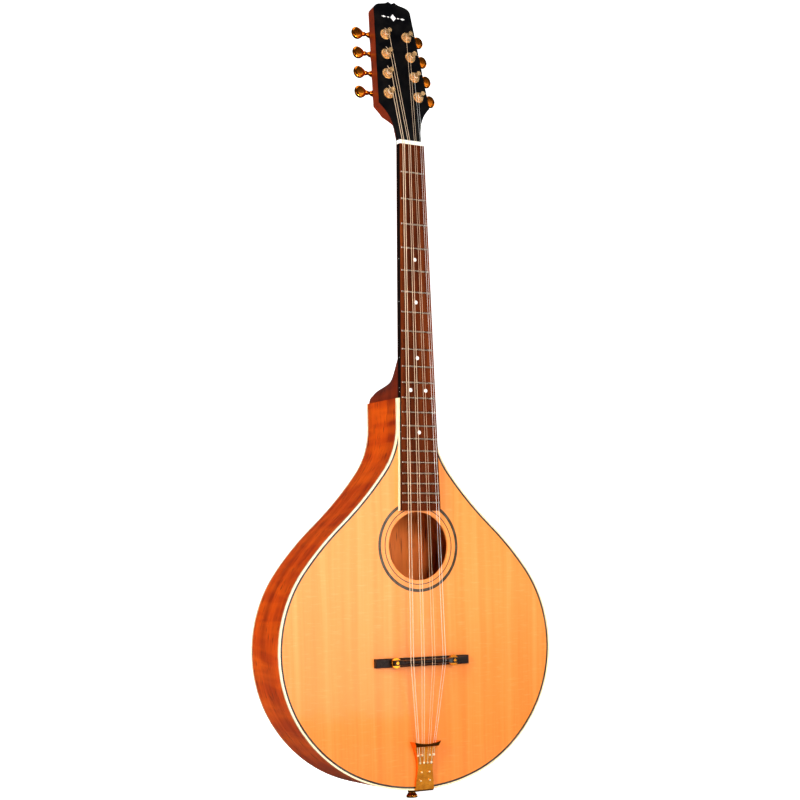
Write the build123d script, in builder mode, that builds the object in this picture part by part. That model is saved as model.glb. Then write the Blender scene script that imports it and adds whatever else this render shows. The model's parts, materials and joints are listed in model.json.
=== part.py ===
from build123d import *
import os
from math import cos, radians, sin

# A flat-topped, teardrop-bodied bouzouki with eight strings in four pairs.
# Millimetres. +X is the treble side, -Y is the front, +Z runs up the neck.
# The model is drawn from the centre line, on the soundboard's front face at the tail edge. Each finished
# piece is then moved so that the origin is the end pin's tip, the lowest point of the instrument.

os.makedirs("parts", exist_ok=True)

# Scale and neck set
SCALE_LENGTH = 650.0
FRET_COUNT = 21
NECK_LEAN = 0.5  # degrees the neck is set back from the soundboard's plane
HEAD_LEAN = 11.5  # degrees the headstock leans back

# Body outline: tangent arcs from the tail to the neck joint, as radius and signed angle
BODY_ARCS = (
    (229.8, 20.15),
    (183.9, 34.55),
    (163.4, 72.9),
    (400.4, 10.95),
    (467.4, -11.15),
    (100.1, -37.4),
)
BODY_LENGTH = 489.0
BODY_DEPTH = 78.0
OUTLINE_OVERRUN = 30.0
PLATE_THICKNESS = 3.0
RIM_THICKNESS = 2.0
BINDING_WIDTH = 2.2
PURFLING_WIDTH = 2.3
PURFLING_DEPTH = 1.5
LINING_WIDTH = 6.0
LINING_DEPTH = 8.0
NECK_BLOCK_LENGTH = 45.0
TAIL_BLOCK_LENGTH = 30.0
TAIL_BLOCK_WIDTH = 84.0

# Soundhole and rosette: ring centre radius and width
SOUNDHOLE_Z = 303.0
SOUNDHOLE_RADIUS = 42.9
ROSETTE_RINGS = ((55.8, 3.8), (48.1, 1.1))
ROSETTE_DEPTH = 1.2

# Braces: distance from the tail and half length
TOP_BRACES = ((79.0, 145.0), (212.0, 165.0), (252.0, 150.0), (354.0, 68.0))
BACK_BRACES = ((97.0, 155.0), (212.0, 168.0), (372.0, 53.0))
BRACE_WIDTH = 8.0
BRACE_DEPTH = 12.0
BRACE_CHAMFER = 2.5

# Fingerboard, nut and frets
BOARD_THICKNESS = 7.6
RISER_HEIGHT = 4.6  # spacer under the part of the fingerboard that reaches over the body
BOARD_OVERHANG = 142.0  # reach past the neck joint, towards the soundhole
BOARD_HALF_NUT = 18.0
BOARD_HALF_END = 28.4
FRET_HALF_NUT = 16.1
FRET_HALF_END = 26.7
CROWN_WIDTH = 2.3
CROWN_HEIGHT = 1.1
TANG_WIDTH = 0.6
TANG_DEPTH = 1.6
DOT_RADIUS = 2.5
DOT_DEPTH = 1.5
SINGLE_DOT_FRETS = (5, 7, 10, 15)
DOUBLE_DOT_FRET = 12
DOUBLE_DOT_SPACING = 22.0
SIDE_DOT_RADIUS = 0.8
SIDE_DOT_DEPTH = 1.2
SIDE_DOT_PAIR = 5.0
NUT_THICKNESS = 5.0
NUT_BEARING = BOARD_THICKNESS + CROWN_HEIGHT + 0.5
GROOVE_DEPTH = 0.15
GROOVE_CLEARANCE = 0.02
NUT_FALL = 0.19

# Neck, heel and truss rod
NECK_DEPTH_JOINT = 17.0
NECK_DEPTH_NUT = 13.5
NECK_SIDE = 0.6
# Heel sections: depth behind the soundboard face, half width and reach up the neck
HEEL_SECTIONS = (
    (2, 25, 90),
    (12, 24.9, 62),
    (20, 24.8, 44),
    (28, 24.6, 33),
    (38, 24.4, 27),
    (50, 24.2, 23.5),
    (64, 24, 20.5),
    (72, 23.8, 17.5),
    (76, 23.6, 14),
)
HEEL_CAP_THICKNESS = 2.0
JOINT_OVERRUN = 6.0  # the neck and heel are drawn past the joint, then trimmed to it
TENON_WIDTH = 18.0
TENON_LENGTH = 15.0
TENON_DEPTHS = (18.0, 68.0)
ROD_RADIUS = 3.0
ROD_DEPTH = 7.5
ROD_END = 312.0
ROD_TIP_RADIUS = 2.0
ROD_TIP_LENGTH = 9.0
ROD_NUT_RADIUS = 3.6
ROD_NUT_LENGTH = 13.0
ROD_NUT_GAP = 1.0
ROD_SOCKET_FLATS = 4.0
ROD_SOCKET_DEPTH = 4.0
ROD_ACCESS_RADIUS = 4.2
RUNNING_CLEARANCE = 0.05

# Headstock
HEAD_THICKNESS = 14.3
OVERLAY_THICKNESS = 1.7
HEAD_FLARE = ((19.6, 20.0), (26.6, 38.0))  # the neck's rounded back runs out between these two
THROAT_INSET = 2.1  # the rounded back's edge lies this far inside the blade's
HEAD_CORNER = (37.2, 51.0)
HEAD_SHOULDER = (26.8, 187.0)
HEAD_CREST = ((23.6, 191.6), (12.0, 195.2))
HEAD_PEAK = (4.8, 198.8)
HEAD_NOTCH = 196.2
INLAY_HEIGHT = 176.0
INLAY_DEPTH = 0.8
# Inlay diamonds: offset from the centre line, half width and half height
INLAY_DIAMONDS = ((-14.0, 3.6, 1.5), (-7.5, 2.0, 1.0), (0.0, 4.2, 5.2), (7.5, 2.0, 1.0), (14.0, 3.6, 1.5))

# Tuning machines
TUNER_ROWS = 4
TUNER_FIRST_ROW = 64.7
TUNER_ROW_STEP = 28.2
TUNER_HALF_FIRST = 22.0
TUNER_HALF_LAST = 15.7
BUSHING_HOLE_RADIUS = 5.0
BUSHING_SLEEVE_RADIUS = 4.95
BUSHING_SLEEVE_LENGTH = 10.0
BUSHING_CORNER_RADIUS = 6.6
BUSHING_THICKNESS = 2.5
WASHER_RADIUS = 7.2
WASHER_THICKNESS = 0.8
POST_RADIUS = 3.0
POST_WAIST_RADIUS = 2.6
POST_WAIST_LENGTH = 4.6
POST_TOP = 15.0
POST_FOOT_RADIUS = 1.5
GEAR_TEETH = 14
GEAR_ROOT_RADIUS = 4.3
GEAR_TIP_RADIUS = 5.1
GEAR_THICKNESS = 4.0
TOOTH_WIDTH = 1.1
KEY_OFFSET = 8.0  # worm axis to post axis
WORM_RADIUS = 2.8
WORM_CORE_RADIUS = 2.2
WORM_LENGTH = 10.0
WORM_RIDGES = 4
WORM_RIDGE_WIDTH = 1.1
KEY_DEPTH = 4.2  # worm axis behind the headstock's back face
KEY_RADIUS = 2.0
KEY_STUB_RADIUS = 1.4
BUTTON_CENTRE = 29.0
BUTTON_HALF_LENGTH = 8.2
BUTTON_HALF_HEIGHT = 9.0
BUTTON_THICKNESS = 5.6
BUTTON_NECK = 18.5
BUTTON_NECK_HALF = 2.8
BUTTON_BORE_DEPTH = 8.0
BUTTON_EDGE = 1.4
FIXED_GAP = 0.02  # gap between two pieces of one node that turn together
HOUSING_HALF_WIDTH = 8.1
HOUSING_REACH = (-7.3, 12.8)
HOUSING_WALL = 1.6
HOUSING_DEPTH = 11.6
HOUSING_FILLET = 2.6
COLLAR_RADIUS = 3.8
COLLAR_END = 12.5
EAR_RADIUS = 3.2
EAR_OFFSET = -10.6
EAR_THICKNESS = 1.6
SCREW_RADIUS = 1.1
SCREW_LENGTH = 7.0
SCREW_HEAD_RADIUS = 2.2
SCREW_HEAD_HEIGHT = 1.1

# Bridge
BRIDGE_Z = 159.0
BRIDGE_LENGTH = 134.0
BRIDGE_WIDTH = 11.0
BRIDGE_HEIGHT = 6.5
BRIDGE_CHAMFER = 0.8
STUD_SPACING = 83.0
STUD_RADIUS = 2.0
STUD_ROOT = 3.5
STUD_TIP = 14.5
SADDLE_CLEARANCE = 0.06
WHEEL_RADIUS = 6.6
WHEEL_THICKNESS = 2.6
WHEEL_NOTCHES = 24
WHEEL_NOTCH_RADIUS = 0.5
SADDLE_UNDERSIDE = 11.1
SADDLE_TOP = 18.4
SADDLE_HALF_LENGTH = 45.6
SADDLE_WIDTH = 7.0
SADDLE_CROWN_WIDTH = 5.0
SADDLE_CROWN_DROP = 1.3
SADDLE_END_HEIGHT = 3.4
SADDLE_BORE_DEPTH = 5.4

# Strings: radius for each course, from bass to treble
STRING_RADII = (0.5, 0.36, 0.24, 0.17)
COURSES_AT_NUT = (-13.2, -4.4, 4.4, 13.2)
COURSES_AT_BRIDGE = (-23.4, -7.8, 7.8, 23.4)
PAIR_HALF_NUT = 1.3
PAIR_HALF_BRIDGE = 1.9
WINDING_HEIGHT = 7.4
WINDING_TURNS = 3
STRING_END_GAP = 2.6
LOOP_RADIUS = 1.3
LOOP_WIRE_RADIUS = 0.22

# Tailpiece
PLATE_GAUGE = 1.4
LEG_LENGTH = 46.0
LEG_HALF_WIDTH = 8.0
PANEL_FOOT = (2.6, 0.6)  # height above the soundboard and distance from the tail
PANEL_HEAD = (7.2, 53.0)
TAIL_HALF_BOTTOM = 13.4
TAIL_HALF_WAIST = 10.6
TAIL_WAIST_Z = 27.0
TAIL_HALF_TOP = 18.8
TAIL_TOP_Z = 60.5
TAIL_TOP_DIP = 3.0
HOOD_HEIGHT = 10.6
HOOD_RISE = 1.6
HOOD_HALF_OPENING = 14.5
TAIL_WALL = 1.1
TAIL_LIFT = 0.4  # gap between the tailpiece's side walls and the soundboard
PIN_RADIUS = 0.95
PIN_HEIGHT = 2.4
# Hook pins on the treble side: offset from the centre line and distance from the tail
HOOK_PINS = ((2.5, 34.0), (5.5, 43.5), (8.0, 34.0), (11.5, 43.5), (5.5, 22.5), (6.5, 12.0))
END_PIN_Y = 29.3
END_PIN_RADIUS = 4.0
END_PIN_LENGTH = 24.0
END_PIN_HEAD_RADIUS = 7.0
END_PIN_HEAD_LENGTH = 2.5
END_PIN_REACH = 12.0
END_PIN_WAIST_RADIUS = 4.4
LEG_SCREW_Y = 14.0
LEG_SCREW_SPACING = 10.0

SIDES = (-1, 1)
HALF_SCALE = SCALE_LENGTH / 2
RIM_HEIGHT = BODY_DEPTH - 2 * PLATE_THICKNESS
SPAN = 600.0  # larger than any feature, for trimming
STAND = Location((0, -END_PIN_Y, END_PIN_REACH))  # from the drawing's origin to the end pin's tip


def behind(depth):
    """Plane facing forward, the given depth behind the soundboard's face."""
    return Plane.XZ.offset(-depth)


def leaning(origin, angle):
    """Plane facing forward, whose upward axis leans back by the angle."""
    return Plane(origin=origin, x_dir=(1, 0, 0), z_dir=(0, -cos(radians(angle)), sin(radians(angle))))


def across(frame, distance):
    """Section plane at a distance up the frame, its second axis pointing into the wood."""
    return Plane(origin=frame.from_local_coords((0, distance, 0)), x_dir=frame.x_dir, z_dir=frame.y_dir)


def lengthwise(frame, offset, distance, height):
    """Plane facing the treble side, through a point given in the frame."""
    return Plane(
        origin=frame.from_local_coords((offset, distance, height)), x_dir=frame.y_dir, z_dir=frame.x_dir
    )


def body_outline(inset):
    """Body plan, inset from the outer edge and open at the neck joint."""
    with BuildSketch() as plan:
        with BuildLine():
            start = (0, 0)
            heading = (1, 0)
            for radius, angle in BODY_ARCS:
                arc = JernArc(start, heading, radius, angle)
                mirror(arc, about=Plane.YZ)
                start = arc @ 1
                heading = arc % 1
            corner = (start.X, BODY_LENGTH + OUTLINE_OVERRUN)
            Polyline(start, corner, (-corner[0], corner[1]), (-start.X, start.Y))
        make_face()
        if inset:
            offset(amount=-inset, kind=Kind.INTERSECTION)
        with Locations((0, BODY_LENGTH / 2)):
            Rectangle(SPAN, BODY_LENGTH, mode=Mode.INTERSECT)
    return plan.sketch


def block_outline(width, low, high):
    """Part of the body's inside plan between two distances from the tail."""
    with BuildSketch() as plan:
        add(inside_rim)
        with Locations((0, (low + high) / 2)):
            Rectangle(width, high - low, mode=Mode.INTERSECT)
    return plan.sketch


def fret_place(number):
    """Distance of a fret from the neck joint, positive towards the nut."""
    return SCALE_LENGTH * 2 ** (-number / 12) - HALF_SCALE


def between_nut_and_end(at_nut, at_end, place):
    """Value at a place on the fingerboard, tapering evenly along it."""
    share = (HALF_SCALE - place) / (HALF_SCALE + BOARD_OVERHANG)
    return at_nut + (at_end - at_nut) * share


def board_plan():
    """Tapered plan of the fingerboard, from the nut to its end over the body."""
    with BuildSketch() as plan:
        with BuildLine():
            Polyline(
                (-BOARD_HALF_NUT, HALF_SCALE),
                (BOARD_HALF_NUT, HALF_SCALE),
                (BOARD_HALF_END, -BOARD_OVERHANG),
                (-BOARD_HALF_END, -BOARD_OVERHANG),
                close=True,
            )
        make_face()
    return plan.sketch


def fret_half(number):
    share = (1 - 2 ** (-number / 12)) / (1 - 2 ** (-FRET_COUNT / 12))
    return FRET_HALF_NUT + (FRET_HALF_END - FRET_HALF_NUT) * share


def neck_section(half_width, depth):
    """Rounded neck section, drawn with its flat side on the first axis."""
    with BuildSketch() as section:
        with BuildLine():
            edge = Polyline((0, 0), (half_width, 0), (half_width, NECK_SIDE))
            back = Bezier(edge @ 1, (half_width * 0.8, depth * 0.62), (half_width * 0.42, depth), (0, depth))
            mirror(edge, about=Plane.YZ)
            mirror(back, about=Plane.YZ)
        make_face()
    return section.sketch


def heel_section(half_width, reach):
    """Blunt rounded section standing on the neck joint."""
    with BuildSketch() as section:
        with BuildLine():
            nose = Bezier(
                (half_width, BODY_LENGTH),
                (half_width, BODY_LENGTH + reach * 0.85),
                (half_width * 0.55, BODY_LENGTH + reach),
                (0, BODY_LENGTH + reach),
            )
            flank = Line(nose @ 0, (half_width, BODY_LENGTH - JOINT_OVERRUN))
            mirror(nose, about=Plane.YZ)
            mirror(flank, about=Plane.YZ)
            Line(flank @ 1, (-half_width, BODY_LENGTH - JOINT_OVERRUN))
        make_face()
    return section.sketch


def head_outline():
    """Headstock plan, from the nut to the notched tip."""
    with BuildSketch() as plan:
        with BuildLine():
            foot = Line((0, 0), (BOARD_HALF_NUT, 0))
            flare = Spline(foot @ 1, *HEAD_FLARE, HEAD_CORNER, tangents=((0, 1), (1, 1)))
            side = Line(flare @ 1, HEAD_SHOULDER)
            crest = Spline(side @ 1, *HEAD_CREST, HEAD_PEAK)
            dip = Line(crest @ 1, (0, HEAD_NOTCH))
            for edge in (foot, flare, side, crest, dip):
                mirror(edge, about=Plane.YZ)
        make_face()
    return plan.sketch


def rod(start, end, radius):
    """Round rod between two points, with a ball at its start."""
    direction = Vector(end) - Vector(start)
    with BuildPart() as piece:
        with BuildSketch(Plane(origin=start, z_dir=direction)):
            Circle(radius)
        extrude(amount=direction.length)
        with Locations(start):
            Sphere(radius)
    return piece.part


def key_frame(offset, distance, side):
    """Plane across a tuning key's axis at its post, facing outwards."""
    centre = head_back.from_local_coords((offset, distance + KEY_OFFSET, -KEY_DEPTH))
    return Plane(origin=centre, x_dir=head_back.y_dir, z_dir=(side, 0, 0))


def tail_plan(inset):
    """Plan of the tailpiece: broad at the hood, narrow at the waist."""
    with BuildSketch() as plan:
        with BuildLine():
            flank = Spline(
                (TAIL_HALF_BOTTOM - inset, -PLATE_GAUGE),
                (TAIL_HALF_WAIST - inset, TAIL_WAIST_Z),
                (TAIL_HALF_TOP - inset, TAIL_TOP_Z),
                tangents=((0, 1), (0.5, 1)),
            )
            mirror(flank, about=Plane.YZ)
            ThreePointArc(flank @ 1, (0, TAIL_TOP_Z - TAIL_TOP_DIP), (inset - TAIL_HALF_TOP, TAIL_TOP_Z))
            Line(flank @ 0, (inset - TAIL_HALF_BOTTOM, -PLATE_GAUGE))
        make_face()
    return plan.sketch


def panel_height(z):
    """Height of the tailpiece panel's front face above the soundboard."""
    share = (z - PANEL_FOOT[1]) / (PANEL_HEAD[1] - PANEL_FOOT[1])
    return PANEL_FOOT[0] + (PANEL_HEAD[0] - PANEL_FOOT[0]) * share


outer = body_outline(0)
inside_binding = body_outline(BINDING_WIDTH)
inside_purfling = body_outline(BINDING_WIDTH + PURFLING_WIDTH)
inside_rim = body_outline(RIM_THICKNESS)
inside_lining = body_outline(RIM_THICKNESS + LINING_WIDTH)
neck_block_plan = block_outline(SPAN, BODY_LENGTH - NECK_BLOCK_LENGTH, BODY_LENGTH)
tail_block_plan = block_outline(TAIL_BLOCK_WIDTH, 0, TAIL_BLOCK_LENGTH)

neck_top = leaning((0, 0, BODY_LENGTH), NECK_LEAN)
board_face = neck_top.offset(BOARD_THICKNESS)
head_face = leaning(neck_top.from_local_coords((0, HALF_SCALE + NUT_THICKNESS, 0)), HEAD_LEAN)
head_back = head_face.offset(-HEAD_THICKNESS)
overlay_face = head_face.offset(OVERLAY_THICKNESS)

tuner_sites = []
for side in SIDES:
    for row in range(TUNER_ROWS):
        half = TUNER_HALF_FIRST + (TUNER_HALF_LAST - TUNER_HALF_FIRST) * row / (TUNER_ROWS - 1)
        tuner_sites.append((side * half, TUNER_FIRST_ROW + TUNER_ROW_STEP * row, side))
post_spots = [(x, distance) for x, distance, side in tuner_sites]
ear_spots = [(x, distance + EAR_OFFSET) for x, distance, side in tuner_sites]

# Each string: radius, nut point, saddle point, pin spot and post site.
# The outermost string of each side winds on the nearest post.
strings = []
for course, radius in enumerate(STRING_RADII):
    for pair_side in SIDES:
        index = 2 * course + (pair_side + 1) // 2
        nut_x = COURSES_AT_NUT[course] + pair_side * PAIR_HALF_NUT
        bridge_x = COURSES_AT_BRIDGE[course] + pair_side * PAIR_HALF_BRIDGE
        nut_point = neck_top.from_local_coords((nut_x, HALF_SCALE, NUT_BEARING + radius))
        saddle_point = Vector(bridge_x, -SADDLE_TOP - radius, BRIDGE_Z)
        if index < TUNER_ROWS:
            pin_x, pin_z = HOOK_PINS[TUNER_ROWS - 1 - index]
            pin_x = -pin_x
            site = index
        else:
            pin_x, pin_z = HOOK_PINS[index - TUNER_ROWS]
            site = 3 * TUNER_ROWS - 1 - index
        strings.append((radius, nut_point, saddle_point, (pin_x, pin_z), site))


def string_winding_point(radius, site):
    """Where a string would meet its winding, on the side of the post facing the centre line."""
    x, distance, side = tuner_sites[site]
    reach = POST_WAIST_RADIUS + FIXED_GAP + radius
    return head_face.from_local_coords((x - side * reach, distance, WINDING_HEIGHT))


# Soundboard, with its hole and the channels for purfling and rosette
with BuildPart() as soundboard:
    with BuildSketch(behind(0)):
        add(inside_binding)
        with Locations((0, SOUNDHOLE_Z)):
            Circle(SOUNDHOLE_RADIUS, mode=Mode.SUBTRACT)
    extrude(amount=-PLATE_THICKNESS)
    with BuildSketch(behind(0)):
        add(inside_binding)
        add(inside_purfling, mode=Mode.SUBTRACT)
    extrude(amount=-PURFLING_DEPTH, mode=Mode.SUBTRACT)
    with BuildSketch(behind(0)):
        with Locations((0, SOUNDHOLE_Z)):
            for radius, width in ROSETTE_RINGS:
                Circle(radius + width / 2)
                Circle(radius - width / 2, mode=Mode.SUBTRACT)
    extrude(amount=-ROSETTE_DEPTH, mode=Mode.SUBTRACT)
soundboard.part.label = "soundboard"
export_step(soundboard.part.moved(STAND), "parts/soundboard.step")

with BuildPart() as rosette_rings:
    with BuildSketch(behind(0)):
        with Locations((0, SOUNDHOLE_Z)):
            for radius, width in ROSETTE_RINGS:
                Circle(radius + width / 2)
                Circle(radius - width / 2, mode=Mode.SUBTRACT)
    extrude(amount=-ROSETTE_DEPTH)
rosette_rings.part.label = "rosette_rings"
export_step(rosette_rings.part.moved(STAND), "parts/rosette_rings.step")

with BuildPart() as top_purfling:
    with BuildSketch(behind(0)):
        add(inside_binding)
        add(inside_purfling, mode=Mode.SUBTRACT)
    extrude(amount=-PURFLING_DEPTH)
top_purfling.part.label = "top_purfling"
export_step(top_purfling.part.moved(STAND), "parts/top_purfling.step")

for name, depth in (("top_binding", 0), ("back_binding", BODY_DEPTH - PLATE_THICKNESS)):
    with BuildPart() as binding:
        with BuildSketch(behind(depth)):
            add(outer)
            add(inside_binding, mode=Mode.SUBTRACT)
        extrude(amount=-PLATE_THICKNESS)
    binding.part.label = name
    export_step(binding.part.moved(STAND), f"parts/{name}.step")

with BuildPart() as back_plate:
    with BuildSketch(behind(BODY_DEPTH - PLATE_THICKNESS)):
        add(inside_binding)
    extrude(amount=-PLATE_THICKNESS)
back_plate.part.label = "back_plate"
export_step(back_plate.part.moved(STAND), "parts/back_plate.step")

# Two rims meet on the centre line at the tail, where the end pin passes between them
for name, side in (("rim_bass", -1), ("rim_treble", 1)):
    with BuildPart() as rim:
        with BuildSketch(behind(PLATE_THICKNESS)):
            add(outer)
            add(inside_rim, mode=Mode.SUBTRACT)
            with Locations((side * SPAN / 2, BODY_LENGTH / 2)):
                Rectangle(SPAN, SPAN, mode=Mode.INTERSECT)
        extrude(amount=-RIM_HEIGHT)
        with BuildSketch(Plane.XY):
            with Locations((0, END_PIN_Y)):
                Circle(END_PIN_RADIUS)
            with Locations((0, LEG_SCREW_Y)):
                with GridLocations(LEG_SCREW_SPACING, 0, 2, 1):
                    Circle(SCREW_RADIUS)
        extrude(amount=TAIL_BLOCK_LENGTH, mode=Mode.SUBTRACT)
    rim.part.label = name
    export_step(rim.part.moved(STAND), f"parts/{name}.step")

with BuildPart() as linings:
    for depth in (PLATE_THICKNESS, BODY_DEPTH - PLATE_THICKNESS - LINING_DEPTH):
        with BuildSketch(behind(depth)):
            add(inside_rim)
            add(inside_lining, mode=Mode.SUBTRACT)
            add(neck_block_plan, mode=Mode.SUBTRACT)
            add(tail_block_plan, mode=Mode.SUBTRACT)
        extrude(amount=-LINING_DEPTH)
linings.part.label = "linings"
export_step(linings.part.moved(STAND), "parts/linings.step")

with BuildPart() as neck_block:
    with BuildSketch(behind(PLATE_THICKNESS)):
        add(neck_block_plan)
    extrude(amount=-RIM_HEIGHT)
    with BuildSketch(behind(TENON_DEPTHS[0])):
        with Locations((0, BODY_LENGTH - TENON_LENGTH / 2)):
            Rectangle(TENON_WIDTH, TENON_LENGTH)
    extrude(amount=TENON_DEPTHS[0] - TENON_DEPTHS[1], mode=Mode.SUBTRACT)
    with BuildSketch(across(neck_top, -2 * NECK_BLOCK_LENGTH)):
        with Locations((0, ROD_DEPTH)):
            Circle(ROD_ACCESS_RADIUS)
    extrude(amount=3 * NECK_BLOCK_LENGTH, mode=Mode.SUBTRACT)
neck_block.part.label = "neck_block"
export_step(neck_block.part.moved(STAND), "parts/neck_block.step")

with BuildPart() as tail_block:
    with BuildSketch(behind(PLATE_THICKNESS)):
        add(tail_block_plan)
    extrude(amount=-RIM_HEIGHT)
    with BuildSketch(Plane.XY):
        with Locations((0, END_PIN_Y)):
            Circle(END_PIN_RADIUS)
    extrude(amount=END_PIN_LENGTH, mode=Mode.SUBTRACT)
    with BuildSketch(Plane.XY):
        with Locations((0, LEG_SCREW_Y)):
            with GridLocations(LEG_SCREW_SPACING, 0, 2, 1):
                Circle(SCREW_RADIUS)
    extrude(amount=SCREW_LENGTH, mode=Mode.SUBTRACT)
tail_block.part.label = "tail_block"
export_step(tail_block.part.moved(STAND), "parts/tail_block.step")

# Bars glued across the inside of the two plates, bevelled on their free edges
brace_sets = (
    ("soundboard_braces", TOP_BRACES, PLATE_THICKNESS, -BRACE_DEPTH),
    ("back_braces", BACK_BRACES, BODY_DEPTH - PLATE_THICKNESS, BRACE_DEPTH),
)
for name, bars, depth, height in brace_sets:
    with BuildPart() as braces:
        with BuildSketch(behind(depth)):
            for z, half_length in bars:
                with Locations((0, z)):
                    Rectangle(2 * half_length, BRACE_WIDTH)
        extrude(amount=height)
        free_face = Axis.Y if height < 0 else -Axis.Y
        chamfer(faces().sort_by(free_face)[-len(bars):].edges(), BRACE_CHAMFER)
    braces.part.label = name
    export_step(braces.part.moved(STAND), f"parts/{name}.step")

# Headstock blade, its foot cut on a slant where the neck's rounded back runs out
flare_half, flare_start = HEAD_FLARE[0]
throat_half, throat_end = HEAD_FLARE[1]
slant = head_face.y_dir * HEAD_THICKNESS + head_face.z_dir * (throat_end - flare_start)
throat = Plane(head_face.from_local_coords((0, flare_start, 0)), x_dir=head_face.x_dir, z_dir=slant)
with BuildPart() as blade:
    with BuildSketch(head_face):
        add(head_outline())
        with Locations((0, flare_start / 2)):
            Rectangle(SPAN, flare_start, mode=Mode.SUBTRACT)
    extrude(amount=-HEAD_THICKNESS)
    split(bisect_by=throat, keep=Keep.TOP)

# Neck shaft, heel and headstock in one piece of wood
with BuildPart() as neck:
    joint_half = between_nut_and_end(BOARD_HALF_NUT, BOARD_HALF_END, -JOINT_OVERRUN)
    with BuildSketch(across(neck_top, -JOINT_OVERRUN)):
        add(neck_section(joint_half, NECK_DEPTH_JOINT))
    with BuildSketch(across(neck_top, HALF_SCALE + NUT_THICKNESS)):
        add(neck_section(BOARD_HALF_NUT, NECK_DEPTH_NUT))
    loft()
    with BuildPart(mode=Mode.PRIVATE) as heel:
        for depth, half_width, reach in HEEL_SECTIONS:
            with BuildSketch(behind(depth)):
                add(heel_section(half_width, reach))
        loft()
    add(heel.part)
    with BuildSketch(across(neck_top, HALF_SCALE + NUT_THICKNESS)):
        add(neck_section(BOARD_HALF_NUT, NECK_DEPTH_NUT))
    with BuildSketch(across(head_face, flare_start)):
        add(neck_section(flare_half, HEAD_THICKNESS))
    loft()
    with BuildSketch(across(head_face, flare_start)):
        add(neck_section(flare_half, HEAD_THICKNESS))
    with BuildSketch(across(head_face, throat_end)):
        add(neck_section(throat_half - THROAT_INSET, HEAD_THICKNESS))
    loft()
    add(blade.part)
    with Locations((0, 0, BODY_LENGTH - SPAN / 2)):
        Box(SPAN, SPAN, SPAN, mode=Mode.SUBTRACT)
    with BuildSketch(behind(TENON_DEPTHS[0])):
        with Locations((0, BODY_LENGTH - TENON_LENGTH / 2)):
            Rectangle(TENON_WIDTH, TENON_LENGTH)
    extrude(amount=TENON_DEPTHS[0] - TENON_DEPTHS[1])
    with BuildSketch(neck_top):
        with Locations((0, ROD_END / 2)):
            Rectangle(2 * ROD_RADIUS, ROD_END)
    extrude(amount=-ROD_DEPTH, mode=Mode.SUBTRACT)
    with BuildSketch(across(neck_top, -ROD_END)):
        with Locations((0, ROD_DEPTH)):
            Circle(ROD_RADIUS)
    extrude(amount=2 * ROD_END, mode=Mode.SUBTRACT)
    with BuildSketch(head_face):
        with Locations(*post_spots):
            Circle(BUSHING_HOLE_RADIUS)
    extrude(amount=-HEAD_THICKNESS, mode=Mode.SUBTRACT)
    with BuildSketch(head_back):
        with Locations(*ear_spots):
            Circle(SCREW_RADIUS)
    extrude(amount=SCREW_LENGTH, mode=Mode.SUBTRACT)
neck.part.label = "neck"
export_step(neck.part.moved(STAND), "parts/neck.step")

with BuildPart() as heel_cap:
    cap_depth, cap_half, cap_reach = HEEL_SECTIONS[-1]
    with BuildSketch(behind(cap_depth)):
        add(heel_section(cap_half, cap_reach))
        with Locations((0, BODY_LENGTH - SPAN / 2)):
            Rectangle(SPAN, SPAN, mode=Mode.SUBTRACT)
    extrude(amount=-HEEL_CAP_THICKNESS)
heel_cap.part.label = "heel_cap"
export_step(heel_cap.part.moved(STAND), "parts/heel_cap.step")

with BuildPart() as truss_rod:
    with BuildSketch(across(neck_top, 0)):
        with Locations((0, ROD_DEPTH)):
            Circle(ROD_RADIUS)
    extrude(amount=ROD_END)
    with BuildSketch(across(neck_top, -ROD_TIP_LENGTH - ROD_NUT_GAP)):
        with Locations((0, ROD_DEPTH)):
            Circle(ROD_TIP_RADIUS)
    extrude(amount=ROD_TIP_LENGTH + ROD_NUT_GAP)
truss_rod.part.label = "truss_rod"
export_step(truss_rod.part.moved(STAND), "parts/truss_rod.step")

with BuildPart() as truss_rod_nut:
    with BuildSketch(across(neck_top, -ROD_NUT_LENGTH - ROD_NUT_GAP)):
        with Locations((0, ROD_DEPTH)):
            Circle(ROD_NUT_RADIUS)
    extrude(amount=ROD_NUT_LENGTH)
    with BuildSketch(across(neck_top, -ROD_NUT_GAP)):
        with Locations((0, ROD_DEPTH)):
            Circle(ROD_TIP_RADIUS + RUNNING_CLEARANCE)
    extrude(amount=-ROD_TIP_LENGTH, mode=Mode.SUBTRACT)
    with BuildSketch(across(neck_top, -ROD_NUT_LENGTH - ROD_NUT_GAP)):
        with Locations((0, ROD_DEPTH)):
            RegularPolygon(ROD_SOCKET_FLATS / 2, 6, major_radius=False)
    extrude(amount=ROD_SOCKET_DEPTH, mode=Mode.SUBTRACT)
truss_rod_nut.part.label = "truss_rod_nut"
export_step(truss_rod_nut.part.moved(STAND), "parts/truss_rod_nut.step")

# Headstock face veneer, with a generic row of diamonds let into it
with BuildPart() as headstock_overlay:
    with BuildSketch(head_face):
        add(head_outline())
        with Locations(*post_spots):
            Circle(BUSHING_HOLE_RADIUS, mode=Mode.SUBTRACT)
    extrude(amount=OVERLAY_THICKNESS)
    with BuildSketch(overlay_face):
        for x, half_width, half_height in INLAY_DIAMONDS:
            with Locations((x, INLAY_HEIGHT)):
                Polygon((half_width, 0), (0, half_height), (-half_width, 0), (0, -half_height), align=None)
    extrude(amount=-INLAY_DEPTH, mode=Mode.SUBTRACT)
headstock_overlay.part.label = "headstock_overlay"
export_step(headstock_overlay.part.moved(STAND), "parts/headstock_overlay.step")

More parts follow.
